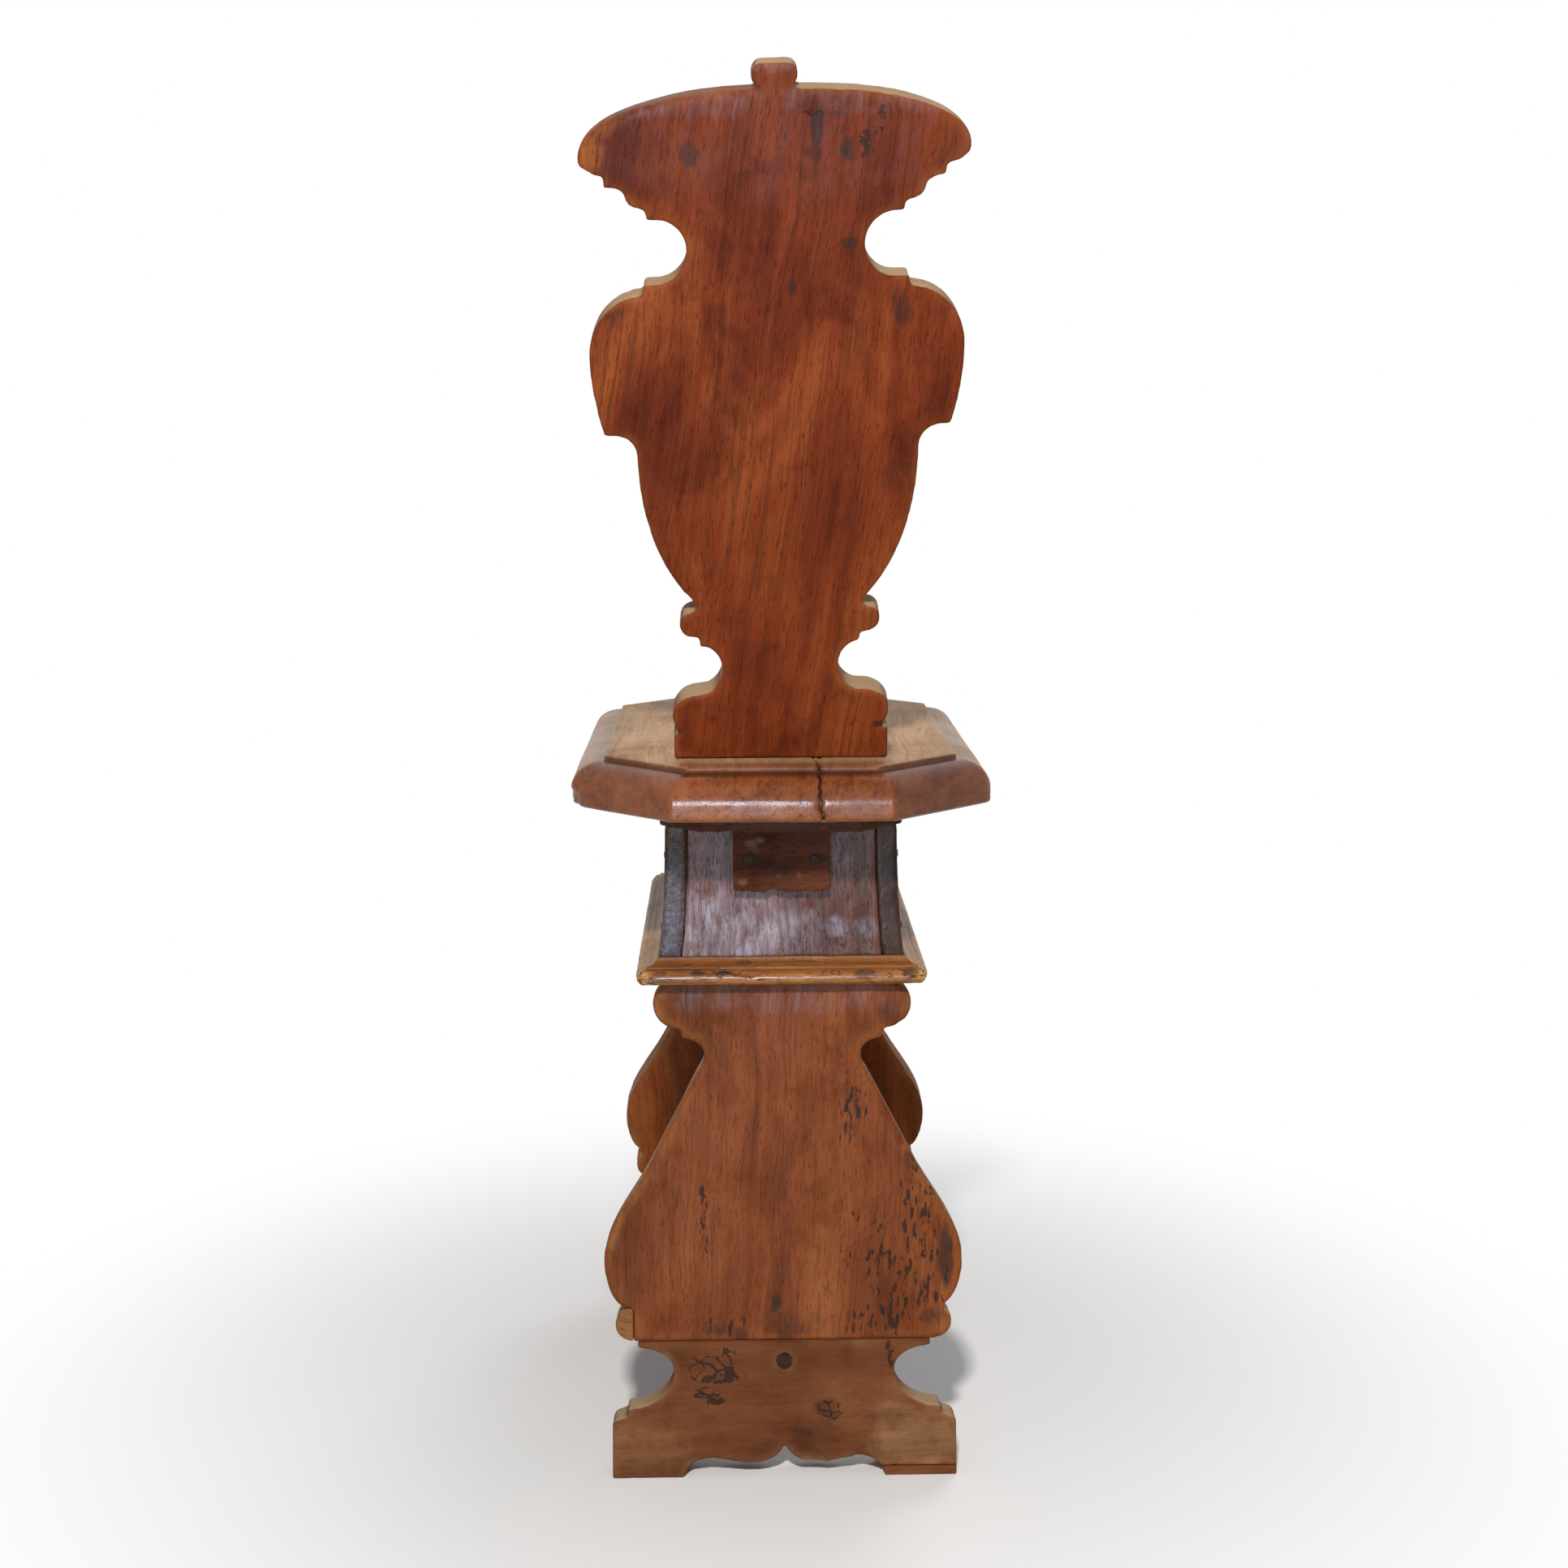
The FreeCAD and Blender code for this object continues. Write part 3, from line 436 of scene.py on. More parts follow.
# Base moulding: four walnut strips planed to a torus, fillet and cove, mitred at the corners and pinned on.
# The nose is polished orange by handling, wormed and chipped, and its corners are knocked pale.
moulding_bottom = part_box("base_moulding_back")[0].z
moulding_reach = 0.018
moulding_height = 0.020
moulding_foot = 0.006
torus_radius = 0.006
ledge_reach = 0.010
cove_foot = 0.014
cove_lip = 0.0015
strip_step = 0.0014
bite_depth = 0.0016
corner_loss = 0.0045
strip_wave = 0.00025
moulding_low, moulding_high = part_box("base_moulding_left")
box_half_width = moulding_high.x - moulding_reach
box_half_depth = (moulding_high.y - moulding_low.y) / 2 - moulding_reach
box_middle = (moulding_high.y + moulding_low.y) / 2
nose_stains = [
    (0.066, 0.399, 0.007, 0.003, 0.9), (0.056, 0.398, 0.006, 0.002, 0.8), (-0.067, 0.398, 0.010, 0.004, 0.9),
    (-0.100, 0.398, 0.007, 0.004, 0.9), (0.094, 0.397, 0.010, 0.004, 0.6), (0.030, 0.405, 0.007, 0.002, 0.7),
]
nose_cracks = [
    (0.044, 0.399, 0.022, 0.003, 0.6), (-0.040, 0.399, 0.024, 0.002, 0.45),
    (-0.090, 0.398, 0.010, 0.004, 0.5),
]


def moulding_section():
    """Outline of the strip, as (reach, height), from the inner bottom edge round to the inner top edge."""
    outline = [(0.0, 0.0), (moulding_foot, 0.0)]
    middle = moulding_reach - torus_radius
    for step in range(17):
        angle = math.radians(-90 + 180 * step / 16)
        outline.append((middle + torus_radius * math.cos(angle), torus_radius * (1 + math.sin(angle))))
    torus_top = 2 * torus_radius
    outline += [(ledge_reach + 0.0006, torus_top), (ledge_reach, torus_top + 0.0008)]
    outline.append((ledge_reach, cove_foot))
    for step in range(1, 9):
        angle = math.radians(90 * step / 8)
        out = ledge_reach - (ledge_reach - cove_lip) * math.sin(angle)
        outline.append((out, moulding_height - (moulding_height - cove_foot) * math.cos(angle)))
    outline.append((0.0, moulding_height))
    return outline


def walled(shape, rows):
    """Closes the walls between rows of points that run round a section."""
    for first, second in zip(rows, rows[1:]):
        for index in range(len(first)):
            after = (index + 1) % len(first)
            shape.faces.new((first[index], first[after], second[after], second[index]))


def finished_mesh(shape, rows, name):
    """The closed mesh of a shape: both ends capped and all faces turned outward."""
    shape.faces.new(rows[0])
    shape.faces.new(rows[-1])
    bmesh.ops.recalc_face_normals(shape, faces=shape.faces)
    mesh = bpy.data.meshes.new(name)
    shape.to_mesh(mesh)
    shape.free()
    return mesh


def moulding_strip(inner_half, half_length, turn, seed):
    """One mitred strip: the section is carried along, longer where it reaches further out."""
    section = moulding_section()
    steps = int(2 * half_length / strip_step)
    shape = bmesh.new()
    rows = []
    for step in range(steps + 1):
        share = 2 * step / steps - 1
        row = [(share * (half_length + out), inner_half + out, up) for out, up in section]
        rows.append([shape.verts.new(point) for point in row])
    walled(shape, rows)
    shape.transform(Matrix.Translation((0, box_middle, moulding_bottom)) @ Matrix.Rotation(turn, 4, "Z"))
    mesh = finished_mesh(shape, rows, "moulding_strip")
    mesh.shade_smooth()
    where, facing = spots(mesh)
    reach = np.abs(where - np.array((0, box_middle, 0)))
    past_side = reach[:, 0] - box_half_width
    past_end = reach[:, 1] - box_half_depth
    corner = np.clip((np.minimum(past_side, past_end) - 0.004) / 0.010, 0, 1)
    nose = np.clip((np.maximum(past_side, past_end) - 0.012) / 0.004, 0, 1)
    bites = np.clip(2.4 * ripple(where, (75, 75, 160), seed) - 0.75, 0, 1)
    waves = ripple(where, (24, 24, 60), seed + 1)
    lost = nose * (bite_depth * bites + corner_loss * corner * (0.6 + 0.4 * waves)) + strip_wave * waves
    where -= facing * lost[:, None]
    set_spots(mesh, where)
    rear = np.clip(facing[:, 1] * 3, 0, 1)
    record(mesh, "arris", 0.25 * nose * np.clip(0.5 + waves, 0, 1) + 0.9 * corner * nose + 0.3 * bites * nose)
    # Painted shade on the ledge and cove above the torus
    above_torus = np.clip((where[:, 2] - moulding_bottom - 0.0105) / 0.002, 0, 1)
    record(mesh, "painted_shade", above_torus * (1 - nose) * 0.35)
    blots = nose * np.clip(2.2 * ripple(where, (34, 34, 90), seed + 3) - 0.8, 0, 1)
    record(mesh, "stain", np.maximum(blots, rear * blotches(where, nose_stains, seed + 7)))
    record(mesh, "crazed", rear * blotches(where, nose_cracks, seed + 9))
    # Dust with painted top light on the side strips, more on the +x one
    side_dust_and_light = np.where(past_side > past_end, 1, 0) * np.where(where[:, 0] > 0, 0.55, 0.30)
    record(mesh, "dust_and_top_light", side_dust_and_light * np.clip((facing[:, 2] - 0.1) / 0.4, 0, 1))
    record(mesh, "flake", nose * np.clip(0.4 + ripple(where, (20, 20, 40), seed + 5), 0, 0.9))
    record(mesh, "pale", corner * nose)
    return mesh


moulding_colours = ((0.130, 0.036, 0.008), (0.290, 0.100, 0.022), (0.450, 0.185, 0.050))
end_moulding_wood = old_walnut("end_moulding_walnut", "X", (0, 0, 0), 5.2, moulding_colours, roughness=0.30,
                               specular=0.28, grime=0.6, worm=0.25)
side_moulding_wood = old_walnut("side_moulding_walnut", "Y", (0, 0, 0), 6.1, moulding_colours, roughness=0.34,
                                specular=0.28, grime=0.6, worm=0.12)
for side, inner, half, turn, wood, seed in (
    ("back", box_half_depth, box_half_width, 0, end_moulding_wood, 31),
    ("front", box_half_depth, box_half_width, math.pi, end_moulding_wood, 37),
    ("left", box_half_width, box_half_depth, -math.pi / 2, side_moulding_wood, 41),
    ("right", box_half_width, box_half_depth, math.pi / 2, side_moulding_wood, 43),
):
    strip = moulding_strip(inner, half, turn, seed)
    set_in_place(strip, "moulding_" + side, wood, "moulding_walnut", "base_moulding_" + side)


# Box: walnut side boards nailed over end panels, with the panel's grain upright and the boards flaring out.
# The outside is dark with old wax, its blue-grey shine partly a painted sheen on the back and the left
# board's rear edge, and the side boards' rear edges are nearly black.
box_cell = 0.0017
box_wave = 0.0005
panel_chip = 0.0010
side_chip = 0.0018
panel_colours = ((0.075, 0.026, 0.017), (0.145, 0.055, 0.040), (0.215, 0.094, 0.072))
panel_walnut = old_walnut("panel_walnut", "Z", (0, math.radians(1), 0), 7.4, panel_colours, roughness=0.40,
                          specular=0.10, grime=0.4, depth=1.8, worm=0.05, pale_mark_and_sheen_tone=(0.34, 0.305, 0.38),
                          stripe=0.9)
side_colours = ((0.066, 0.025, 0.013), (0.122, 0.048, 0.025), (0.180, 0.078, 0.040))
side_walnut = old_walnut("side_walnut", "Y", (0, 0, 0), 8.3, side_colours, roughness=0.40, specular=0.08,
                         grime=0.4, depth=1.2, worm=0.15, pale_mark_and_sheen_tone=(0.20, 0.205, 0.275))
back_panel_stains = [
    (0.043, 0.440, 0.003, 0.003, 0.9), (0.032, 0.443, 0.003, 0.003, 0.9), (0.026, 0.424, 0.004, 0.004, 0.8),
    (-0.043, 0.431, 0.008, 0.005, 0.7), (-0.065, 0.431, 0.009, 0.007, 0.7),
    (-0.070, 0.480, 0.010, 0.020, 0.4),
]
# Pale wax haze on the back panel with painted sheen and glints, strongest low on the left, faint higher up
back_panel_haze_and_sheen = [
    (0.052, 0.480, 0.040, 0.060, 0.30), (0.044, 0.426, 0.060, 0.038, 1.0),
    (-0.050, 0.500, 0.030, 0.020, 0.25), (-0.043, 0.431, 0.010, 0.008, 0.7),
    (-0.066, 0.431, 0.010, 0.008, 0.7),
]
panel_dents = [
    (0.043, 0.440, 0.004, 0.0016), (0.032, 0.443, 0.004, 0.0012), (0.026, 0.424, 0.005, 0.0018),
    (-0.020, 0.446, 0.005, 0.0010), (-0.043, 0.431, 0.008, 0.0010), (-0.065, 0.432, 0.009, 0.0012),
    (0.058, 0.455, 0.006, 0.0008), (0.010, 0.436, 0.006, 0.0008),
]


def dented(mesh, dents):
    """Knocks round dents into a rear face: (x, height, radius, depth)."""
    where, facing = spots(mesh)
    for x, height, radius, depth in dents:
        near = np.exp(-(((where[:, 0] - x) ** 2 + (where[:, 2] - height) ** 2) / radius ** 2))
        where[:, 1] -= np.where(facing[:, 1] > 0.3, depth * near, 0)
    set_spots(mesh, where)


back_panel = aged(sawn_plank("box_back_panel", 0, box_cell), 47, box_wave, panel_chip,
                  stains=back_panel_stains, pale_marks_and_sheen=back_panel_haze_and_sheen)
dented(back_panel, panel_dents)
set_in_place(back_panel, "back_panel", panel_walnut, "box_walnut", "box_back_panel")
front_panel = aged(sawn_plank("box_front_panel", 0, box_cell), 53, box_wave, panel_chip)
set_in_place(front_panel, "front_panel", panel_walnut, "box_walnut", "box_front_panel")
# The left board's rear edge gets a painted blue-grey sheen, the right one almost none
for side, seed, edge_sheen in (("left_side", 59, 0.7), ("right_side", 61, 0.03)):
    node = "box_" + side
    middle = (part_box(node)[0].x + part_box(node)[1].x) / 2
    edge_stains = [(middle, 0.460, 0.030, 0.080, 1.0)]
    edge_sheen_marks = [(middle, 0.440, 0.030, 0.040, edge_sheen)]
    board = aged(sawn_plank(node, 0, box_cell), seed, box_wave, side_chip, stains=edge_stains,
                 pale_marks_and_sheen=edge_sheen_marks)
    set_in_place(board, side + "_board", side_walnut, "box_walnut", node)


# Top board: a plain walnut board between box and seat with clipped corners, split along its edge; its dark
# colour is painted shade from the seat above.
# It is doweled to the side boards below and to the seat above.
top_cell = 0.0022
top_wave = 0.0004
top_chip = 0.0022
# Dark colours: painted shade under the seat
top_colours = ((0.030, 0.010, 0.006), (0.058, 0.020, 0.011), (0.095, 0.036, 0.019))
top_walnut = old_walnut("top_walnut", "X", (0, 0, 0), 9.2, top_colours, roughness=0.5, specular=0.04,
                        grime=0.4, depth=1.4)
top_board = aged(sawn_plank("box_top_board", 0, top_cell), 67, top_wave, top_chip)
set_in_place(top_board, "top_board", top_walnut, "box_walnut", "box_top_board")


# Seat: one octagonal walnut plank, its edge run with a step, a wide quarter round and a blunt nose.
# The plank has split at the rear, from the splat over the moulded edge, and one corner is chipped.
seat_low, seat_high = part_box("seat_board")
seat_reach = 0.026
seat_clip = 0.065
seat_nose_radius = 0.004
seat_round_foot = 0.013
seat_round_width = 0.024
seat_round_height = 0.021
seat_wave = 0.0004
seat_bite = 0.0009
seat_chip = 0.0040
split_x = -0.0285
split_start = 0.120
split_width = 0.0011
split_depth = 0.0034
seat_middle = (seat_low.y + seat_high.y) / 2
flat_half_width = seat_high.x - seat_reach
flat_half_depth = (seat_high.y - seat_low.y) / 2 - seat_reach
corner_half = (flat_half_width + flat_half_depth - seat_clip) / math.sqrt(2)


def seat_profile():
    """The moulded edge, as (reach, height), from the underside to the flat top."""
    bottom = seat_low.z
    top = seat_high.z
    nose_middle = seat_reach - seat_nose_radius
    edge = [(nose_middle - seat_nose_radius, bottom)]
    for step in range(7):
        angle = math.radians(90 * step / 6)
        out = nose_middle + seat_nose_radius * math.sin(angle)
        edge.append((out, bottom + seat_nose_radius * (1 - math.cos(angle))))
    edge += [(seat_reach, bottom + 0.007), (seat_reach, bottom + 0.010)]
    for step in range(15):
        angle = math.radians(90 * step / 14)
        out = seat_reach - seat_round_width * (1 - math.cos(angle))
        edge.append((out, bottom + seat_round_foot + seat_round_height * math.sin(angle)))
    edge += [(0.0008, top - 0.004), (0.0, top - 0.0034), (0.0, top - 0.0012), (-0.0003, top - 0.0004)]
    edge.append((-0.0012, top))
    return edge


def octagon(reach):
    """Corners of the seat's outline at one reach, from the rear right corner round by the rear left."""
    side = flat_half_width + reach
    end = flat_half_depth + reach
    along_end = (corner_half + reach) * math.sqrt(2) - end
    along_side = (corner_half + reach) * math.sqrt(2) - side
    return [(-along_end, end), (along_end, end), (side, along_side), (side, -along_side),
            (along_end, -end), (-along_end, -end), (-side, -along_side), (-side, along_side)]


def split_wander(height, reach):
    """How far the split strays sideways: a slow drift with short jags where the fibres tore."""
    way = height * 130 + reach * 60
    return 0.0022 * noise.noise(Vector((7.7, 3.3, way))) + 0.0020 * noise.noise(Vector((2.1, 9.4, way * 6)))


def seat_ring(reach, height):
    """Points once round the seat; at the rear they crowd together where the plank has split."""
    corners = octagon(reach)
    start, stop = corners[:2]
    split = split_x + split_wander(height, reach)
    crowd = [split + offset for offset in (-0.004, -0.0016, -0.0008, 0.0, 0.0008, 0.0016, 0.004)]
    before = np.linspace(start[0], crowd[0], 22, endpoint=False)
    after = np.linspace(crowd[-1], stop[0], 46, endpoint=False)
    ring = [(x, start[1]) for x in [*before, *crowd[:-1], *after]]
    others = corners[2:] + corners[:1]
    for start, stop, count in zip(corners[1:], others, (28, 110, 28, 44, 28, 110, 28)):
        for step in range(count):
            share = step / count
            ring.append((start[0] + share * (stop[0] - start[0]), start[1] + share * (stop[1] - start[1])))
    return ring


def seat_plank():
    """Rings of the moulded edge, closed by shrinking rings over the top and the underside."""
    shape = bmesh.new()
    profile = seat_profile()
    inner = [0.03, 0.2, 0.4, 0.6, 0.75, 0.86, 0.93, 0.97]
    levels = [(*profile[0], share) for share in inner]
    levels += [(*edge, 1) for edge in profile]
    levels += [(*profile[-1], share) for share in reversed(inner)]
    rows = []
    for reach, height, share in levels:
        ring = seat_ring(reach, height)
        rows.append([shape.verts.new((x * share, y * share + seat_middle, height)) for x, y in ring])
    walled(shape, rows)
    mesh = finished_mesh(shape, rows, "seat_plank")
    mesh.shade_smooth()
    return mesh


def split_nearness(where):
    """How near each point lies to the middle of the split, which wanders as the rings do."""
    reach = np.maximum(where[:, 1] - seat_middle - flat_half_depth, -0.0012)
    wander = [split_wander(z, out) for z, out in zip(where[:, 2], reach)]
    return np.exp(-((where[:, 0] - split_x - np.array(wander)) / split_width) ** 2)


seat = seat_plank()
spot, facing = spots(seat)
waves = ripple(spot, (13, 13, 30), 71)
bites = np.clip(2.0 * ripple(spot, (85, 85, 120), 73) - 0.9, 0, 1)
nose = np.clip(1 - np.abs(spot[:, 2] - seat_low.z - 0.006) / 0.010, 0, 1)
gap = split_nearness(spot) * np.clip((spot[:, 1] - split_start) / 0.004, 0, 1)
gap *= np.where(spot[:, 2] > seat_low.z + 0.0002, 1, 0)
knock = np.linalg.norm(spot - np.array((seat_high.x, 0.125, seat_low.z + 0.008)), axis=1)
chipped = np.clip(1.3 - knock / 0.013 + 0.5 * ripple(spot, (150, 150, 150), 75), 0, 1)
chipped *= np.clip(nose * 2, 0, 1)
lost = seat_wave * waves + seat_bite * bites * nose + split_depth * gap + seat_chip * chipped
spot -= facing * lost[:, None]
set_spots(seat, spot)

# Marks of the seat: painted shade on its slanting corners, in the split and under the step; a bare top, paler
# also as a painted reflection; dust with painted top light on the rim, and dust under the plank
step_foot = np.clip(1.4 - np.abs(spot[:, 2] - seat_high.z + 0.0036) / 0.0018, 0, 1)
rearward = facing[:, 1] / np.maximum(np.hypot(facing[:, 0], facing[:, 1]), 0.05)
slanting = np.clip((0.95 - np.abs(rearward)) / 0.1, 0, 1) * np.clip((rearward - 0.4) / 0.1, 0, 1)
slanting *= np.where(facing[:, 2] < 0.97, 1, 0)
# Painted shade on the slanting corners, stronger on the one facing -x
slant_shade = slanting * np.where(facing[:, 0] < 0, 0.58, 0.38)
record(seat, "arris", np.clip(0.5 * chipped + 0.3 * nose * np.clip(waves, 0, 1), 0, 1))
record(seat, "painted_shade", np.maximum(np.maximum(gap * 1.3, step_foot), slant_shade))
record(seat, "stain", gap * 1.2)
from_middle = np.abs(spot[:, :2] - np.array((0, seat_middle)))
inset = np.minimum(flat_half_width - from_middle[:, 0], flat_half_depth - from_middle[:, 1])
inset = np.minimum(inset, corner_half - from_middle.sum(1) / math.sqrt(2))
# The bare worn top is paler also as a painted reflection of the pale surroundings, less so behind the splat
behind_splat = (spot[:, 1] > seat_middle + flat_half_depth - 0.030) & (from_middle[:, 0] < 0.078)
on_top = np.clip((inset + 0.002) / 0.004, 0, 1) * (facing[:, 2] > 0.5)
record(seat, "pale", 0.9 * np.where(behind_splat, 0.3, 1) * on_top)
off_rear = np.clip((0.35 - rearward) / 0.2, 0, 1) * np.where(inset < 0.0005, 1, 0)
rim_dust_and_light = 0.58 * off_rear * np.clip((facing[:, 2] - 0.15) / 0.5, 0, 1)
record(seat, "dust_and_top_light", np.maximum(rim_dust_and_light, 0.35 * np.clip((-facing[:, 2] - 0.8) / 0.1, 0, 1)))
seat_colours = ((0.132, 0.035, 0.011), (0.270, 0.080, 0.026), (0.396, 0.140, 0.052))
seat_walnut = old_walnut("seat_walnut", "Y", (0, 0, math.radians(2)), 10.5, seat_colours, roughness=0.24,
                         specular=0.22, grime=0.28, depth=0.5, contrast=0.6, worn=(0.575, 0.350, 0.185),
                         stripe=0.9)
set_in_place(seat, "seat", seat_walnut, "seat_walnut", "seat_board")


# Back splat: one walnut plank sawn to scrolls, a vase, shoulders and wings under a small knob, leaning back.
# Its tenon passes through the seat. The rear is dry and red-brown, with slanting grain and black iron stains.
splat_lean = math.radians(-15.0)
splat_cell = 0.0017
splat_wave = 0.0005
splat_chip = 0.0010
wing_foot = 1.0
knob_foot = 1.052
splat_colours = ((0.088, 0.013, 0.0035), (0.187, 0.033, 0.0075), (0.300, 0.072, 0.017))
splat_walnut = old_walnut("splat_walnut", "Z", (-splat_lean, math.radians(7), 0), 12.3, splat_colours,
                          roughness=0.45, specular=0.04, contrast=0.8)
splat_stains = [
    (0.064, 1.007, 0.009, 0.010, 0.75), (-0.024, 1.024, 0.005, 0.022, 1.0),
    (-0.019, 1.009, 0.007, 0.004, 0.7), (-0.048, 1.010, 0.008, 0.009, 0.85),
    (-0.057, 1.016, 0.002, 0.006, 1.0), (0.120, 0.898, 0.010, 0.008, 0.6), (-0.085, 0.904, 0.010, 0.014, 0.7),
    (-0.080, 0.778, 0.010, 0.016, 0.45), (-0.047, 0.948, 0.008, 0.005, 0.85),
    (-0.024, 0.950, 0.010, 0.006, 0.4), (-0.007, 0.918, 0.004, 0.006, 0.7), (0.031, 0.860, 0.010, 0.008, 0.4),
    (-0.046, 0.752, 0.009, 0.010, 0.45), (-0.014, 0.691, 0.005, 0.006, 0.5),
    (0.026, 0.682, 0.010, 0.003, 0.5), (-0.075, 0.594, 0.006, 0.003, 1.0), (-0.036, 1.034, 0.008, 0.003, 0.7),
]
# Painted sheen along the wings' top edges and on the knob, and faintly over the wings
splat_sheen = [
    (0.000, 1.015, 0.140, 0.040, 0.07), (0.060, 1.040, 0.080, 0.010, 0.22),
    (-0.065, 1.043, 0.080, 0.010, 0.22), (0.007, 1.064, 0.014, 0.004, 0.4),
]
splat_pale = [(0.142, 1.008, 0.016, 0.022, 0.9), (0.126, 1.026, 0.012, 0.008, 0.5)]
splat_cracks = [
    (-0.057, 1.013, 0.004, 0.009, 0.9), (-0.020, 1.034, 0.010, 0.002, 0.7),
    (-0.069, 1.030, 0.003, 0.010, 0.7),
]
splat = aged(sawn_plank("back_splat", splat_lean, splat_cell), 79, splat_wave, splat_chip,
             soft=(wing_foot, knob_foot), stains=splat_stains, pale=splat_pale, cracks=splat_cracks,
             pale_marks_and_sheen=splat_sheen)
spot, facing = spots(splat)
# Less dust and painted top light along the wings' top edge on the +x side
kept_dust_and_light = np.where((spot[:, 2] > wing_foot) & (spot[:, 0] > 0.018), 0.12, 1)
splat_dust_and_light = np.clip(kept_dust_and_light * (facing[:, 2] - 0.45) / 0.35, 0, 1)
splat.attributes["dust_and_top_light"].data.foreach_set("value", splat_dust_and_light)
set_in_place(splat, "splat", splat_walnut, "splat_walnut", "back_splat")


# Rear cleat: a rough block split from a darker plank and nailed under the seat against the back panel.
# Its lower edge was left broken, and a scrape and old glue show pale on its face.
cleat_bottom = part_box("rear_cleat")[0].z
cleat_wave = 0.0006
cleat_chip = 0.0016
broken_height = 0.010
cleat_colours = ((0.052, 0.014, 0.006), (0.095, 0.028, 0.013), (0.145, 0.047, 0.022))
cleat_wood = old_walnut("cleat_wood", "X", (0, 0, 0), 14.2, cleat_colours, roughness=0.6, specular=0.03,
                        grime=0.8, depth=2.2, contrast=0.4, pale_mark_and_sheen_tone=(0.34, 0.22, 0.14))
cleat_stains = [
    (0.023, 0.487, 0.008, 0.007, 0.9), (-0.028, 0.488, 0.008, 0.006, 0.9), (0.0, 0.478, 0.012, 0.005, 0.7),
]
cleat_scrapes = [
    (0.016, 0.503, 0.004, 0.003, 0.45), (0.024, 0.499, 0.005, 0.004, 0.45), (0.019, 0.494, 0.003, 0.002, 0.4),
    (-0.014, 0.475, 0.002, 0.002, 0.8), (0.002, 0.475, 0.002, 0.001, 0.7), (0.031, 0.470, 0.004, 0.003, 0.4),
    (-0.030, 0.498, 0.005, 0.002, 0.3),
]
cleat = aged(sawn_plank("rear_cleat", 0, small_cell), 83, cleat_wave, cleat_chip, stains=cleat_stains,
             pale_marks_and_sheen=cleat_scrapes)
spot, facing = spots(cleat)
low = np.clip((cleat_bottom + broken_height - spot[:, 2]) / broken_height, 0, 1)
broken = ripple(spot, (110, 40, 5), 85) + 0.5 * ripple(spot, (330, 120, 60), 86)
spot[:, 2] += low * (0.0002 + 0.0028 * broken)
spot[:, 1] -= low * np.clip(broken, 0, 1) * 0.002
set_spots(cleat, spot)
set_in_place(cleat, "cleat", cleat_wood, "cleat_wood", "rear_cleat")


# Nails: hand-forged iron with square tapered shanks and low hammered heads, through cleat, box and moulding.
# One nail is set at every point of a group, turned and sized a little differently each time.
nail_sides = 8
head_height = 0.0012
scale_black = (0.018, 0.012, 0.010, 1)
rust_brown = (0.085, 0.034, 0.016, 1)


def rusty_iron():
    material = bpy.data.materials.new("rusty_iron")
    material.use_nodes = True
    tree = material.node_tree
    shader = tree.nodes["Principled BSDF"]
    rust = rough_noise(tree, put(tree, "TexCoord").outputs["Object"], 420, 5, 0.65)
    ramp = put(tree, "ValToRGB", {0: rust})
    for stop, position, colour in zip(ramp.color_ramp.elements, (0.35, 0.7), (scale_black, rust_brown)):
        stop.position = position
        stop.color = colour
    tree.links.new(ramp.outputs[0], shader.inputs["Base Color"])
    shader.inputs["Specular IOR Level"].default_value = 0.05
    tree.links.new(between(tree, rust, 0.3, 0.7, 0.45, 0.8), shader.inputs["Roughness"])
    bump = put(tree, "Bump", {"Height": rust, "Strength": 0.6, "Distance": 0.0004})
    tree.links.new(bump.outputs[0], shader.inputs["Normal"])
    return material


def one_nail(length, shank, head):
    """A nail along -Z from its head at the origin: a hammered dome of flats over a square taper."""
    shape = bmesh.new()
    rings = []
    for radius, height in ((0.20 * head, 0.0007), (0.42 * head, 0.0005), (0.5 * head, 0.0001),
                           (0.47 * head, -0.0001), (0.5 * shank, -0.0002), (0.18 * shank, -length)):
        ring = []
        for step in range(nail_sides):
            way = 2 * math.pi * step / nail_sides
            out = 0.9 * radius / math.sqrt(max(abs(math.cos(way)), abs(math.sin(way))))
            angle = way + 0.2
            ring.append(shape.verts.new((out * math.cos(angle), out * math.sin(angle), height)))
        rings.append(ring)
    walled(shape, rings)
    return finished_mesh(shape, rings, "one_nail")


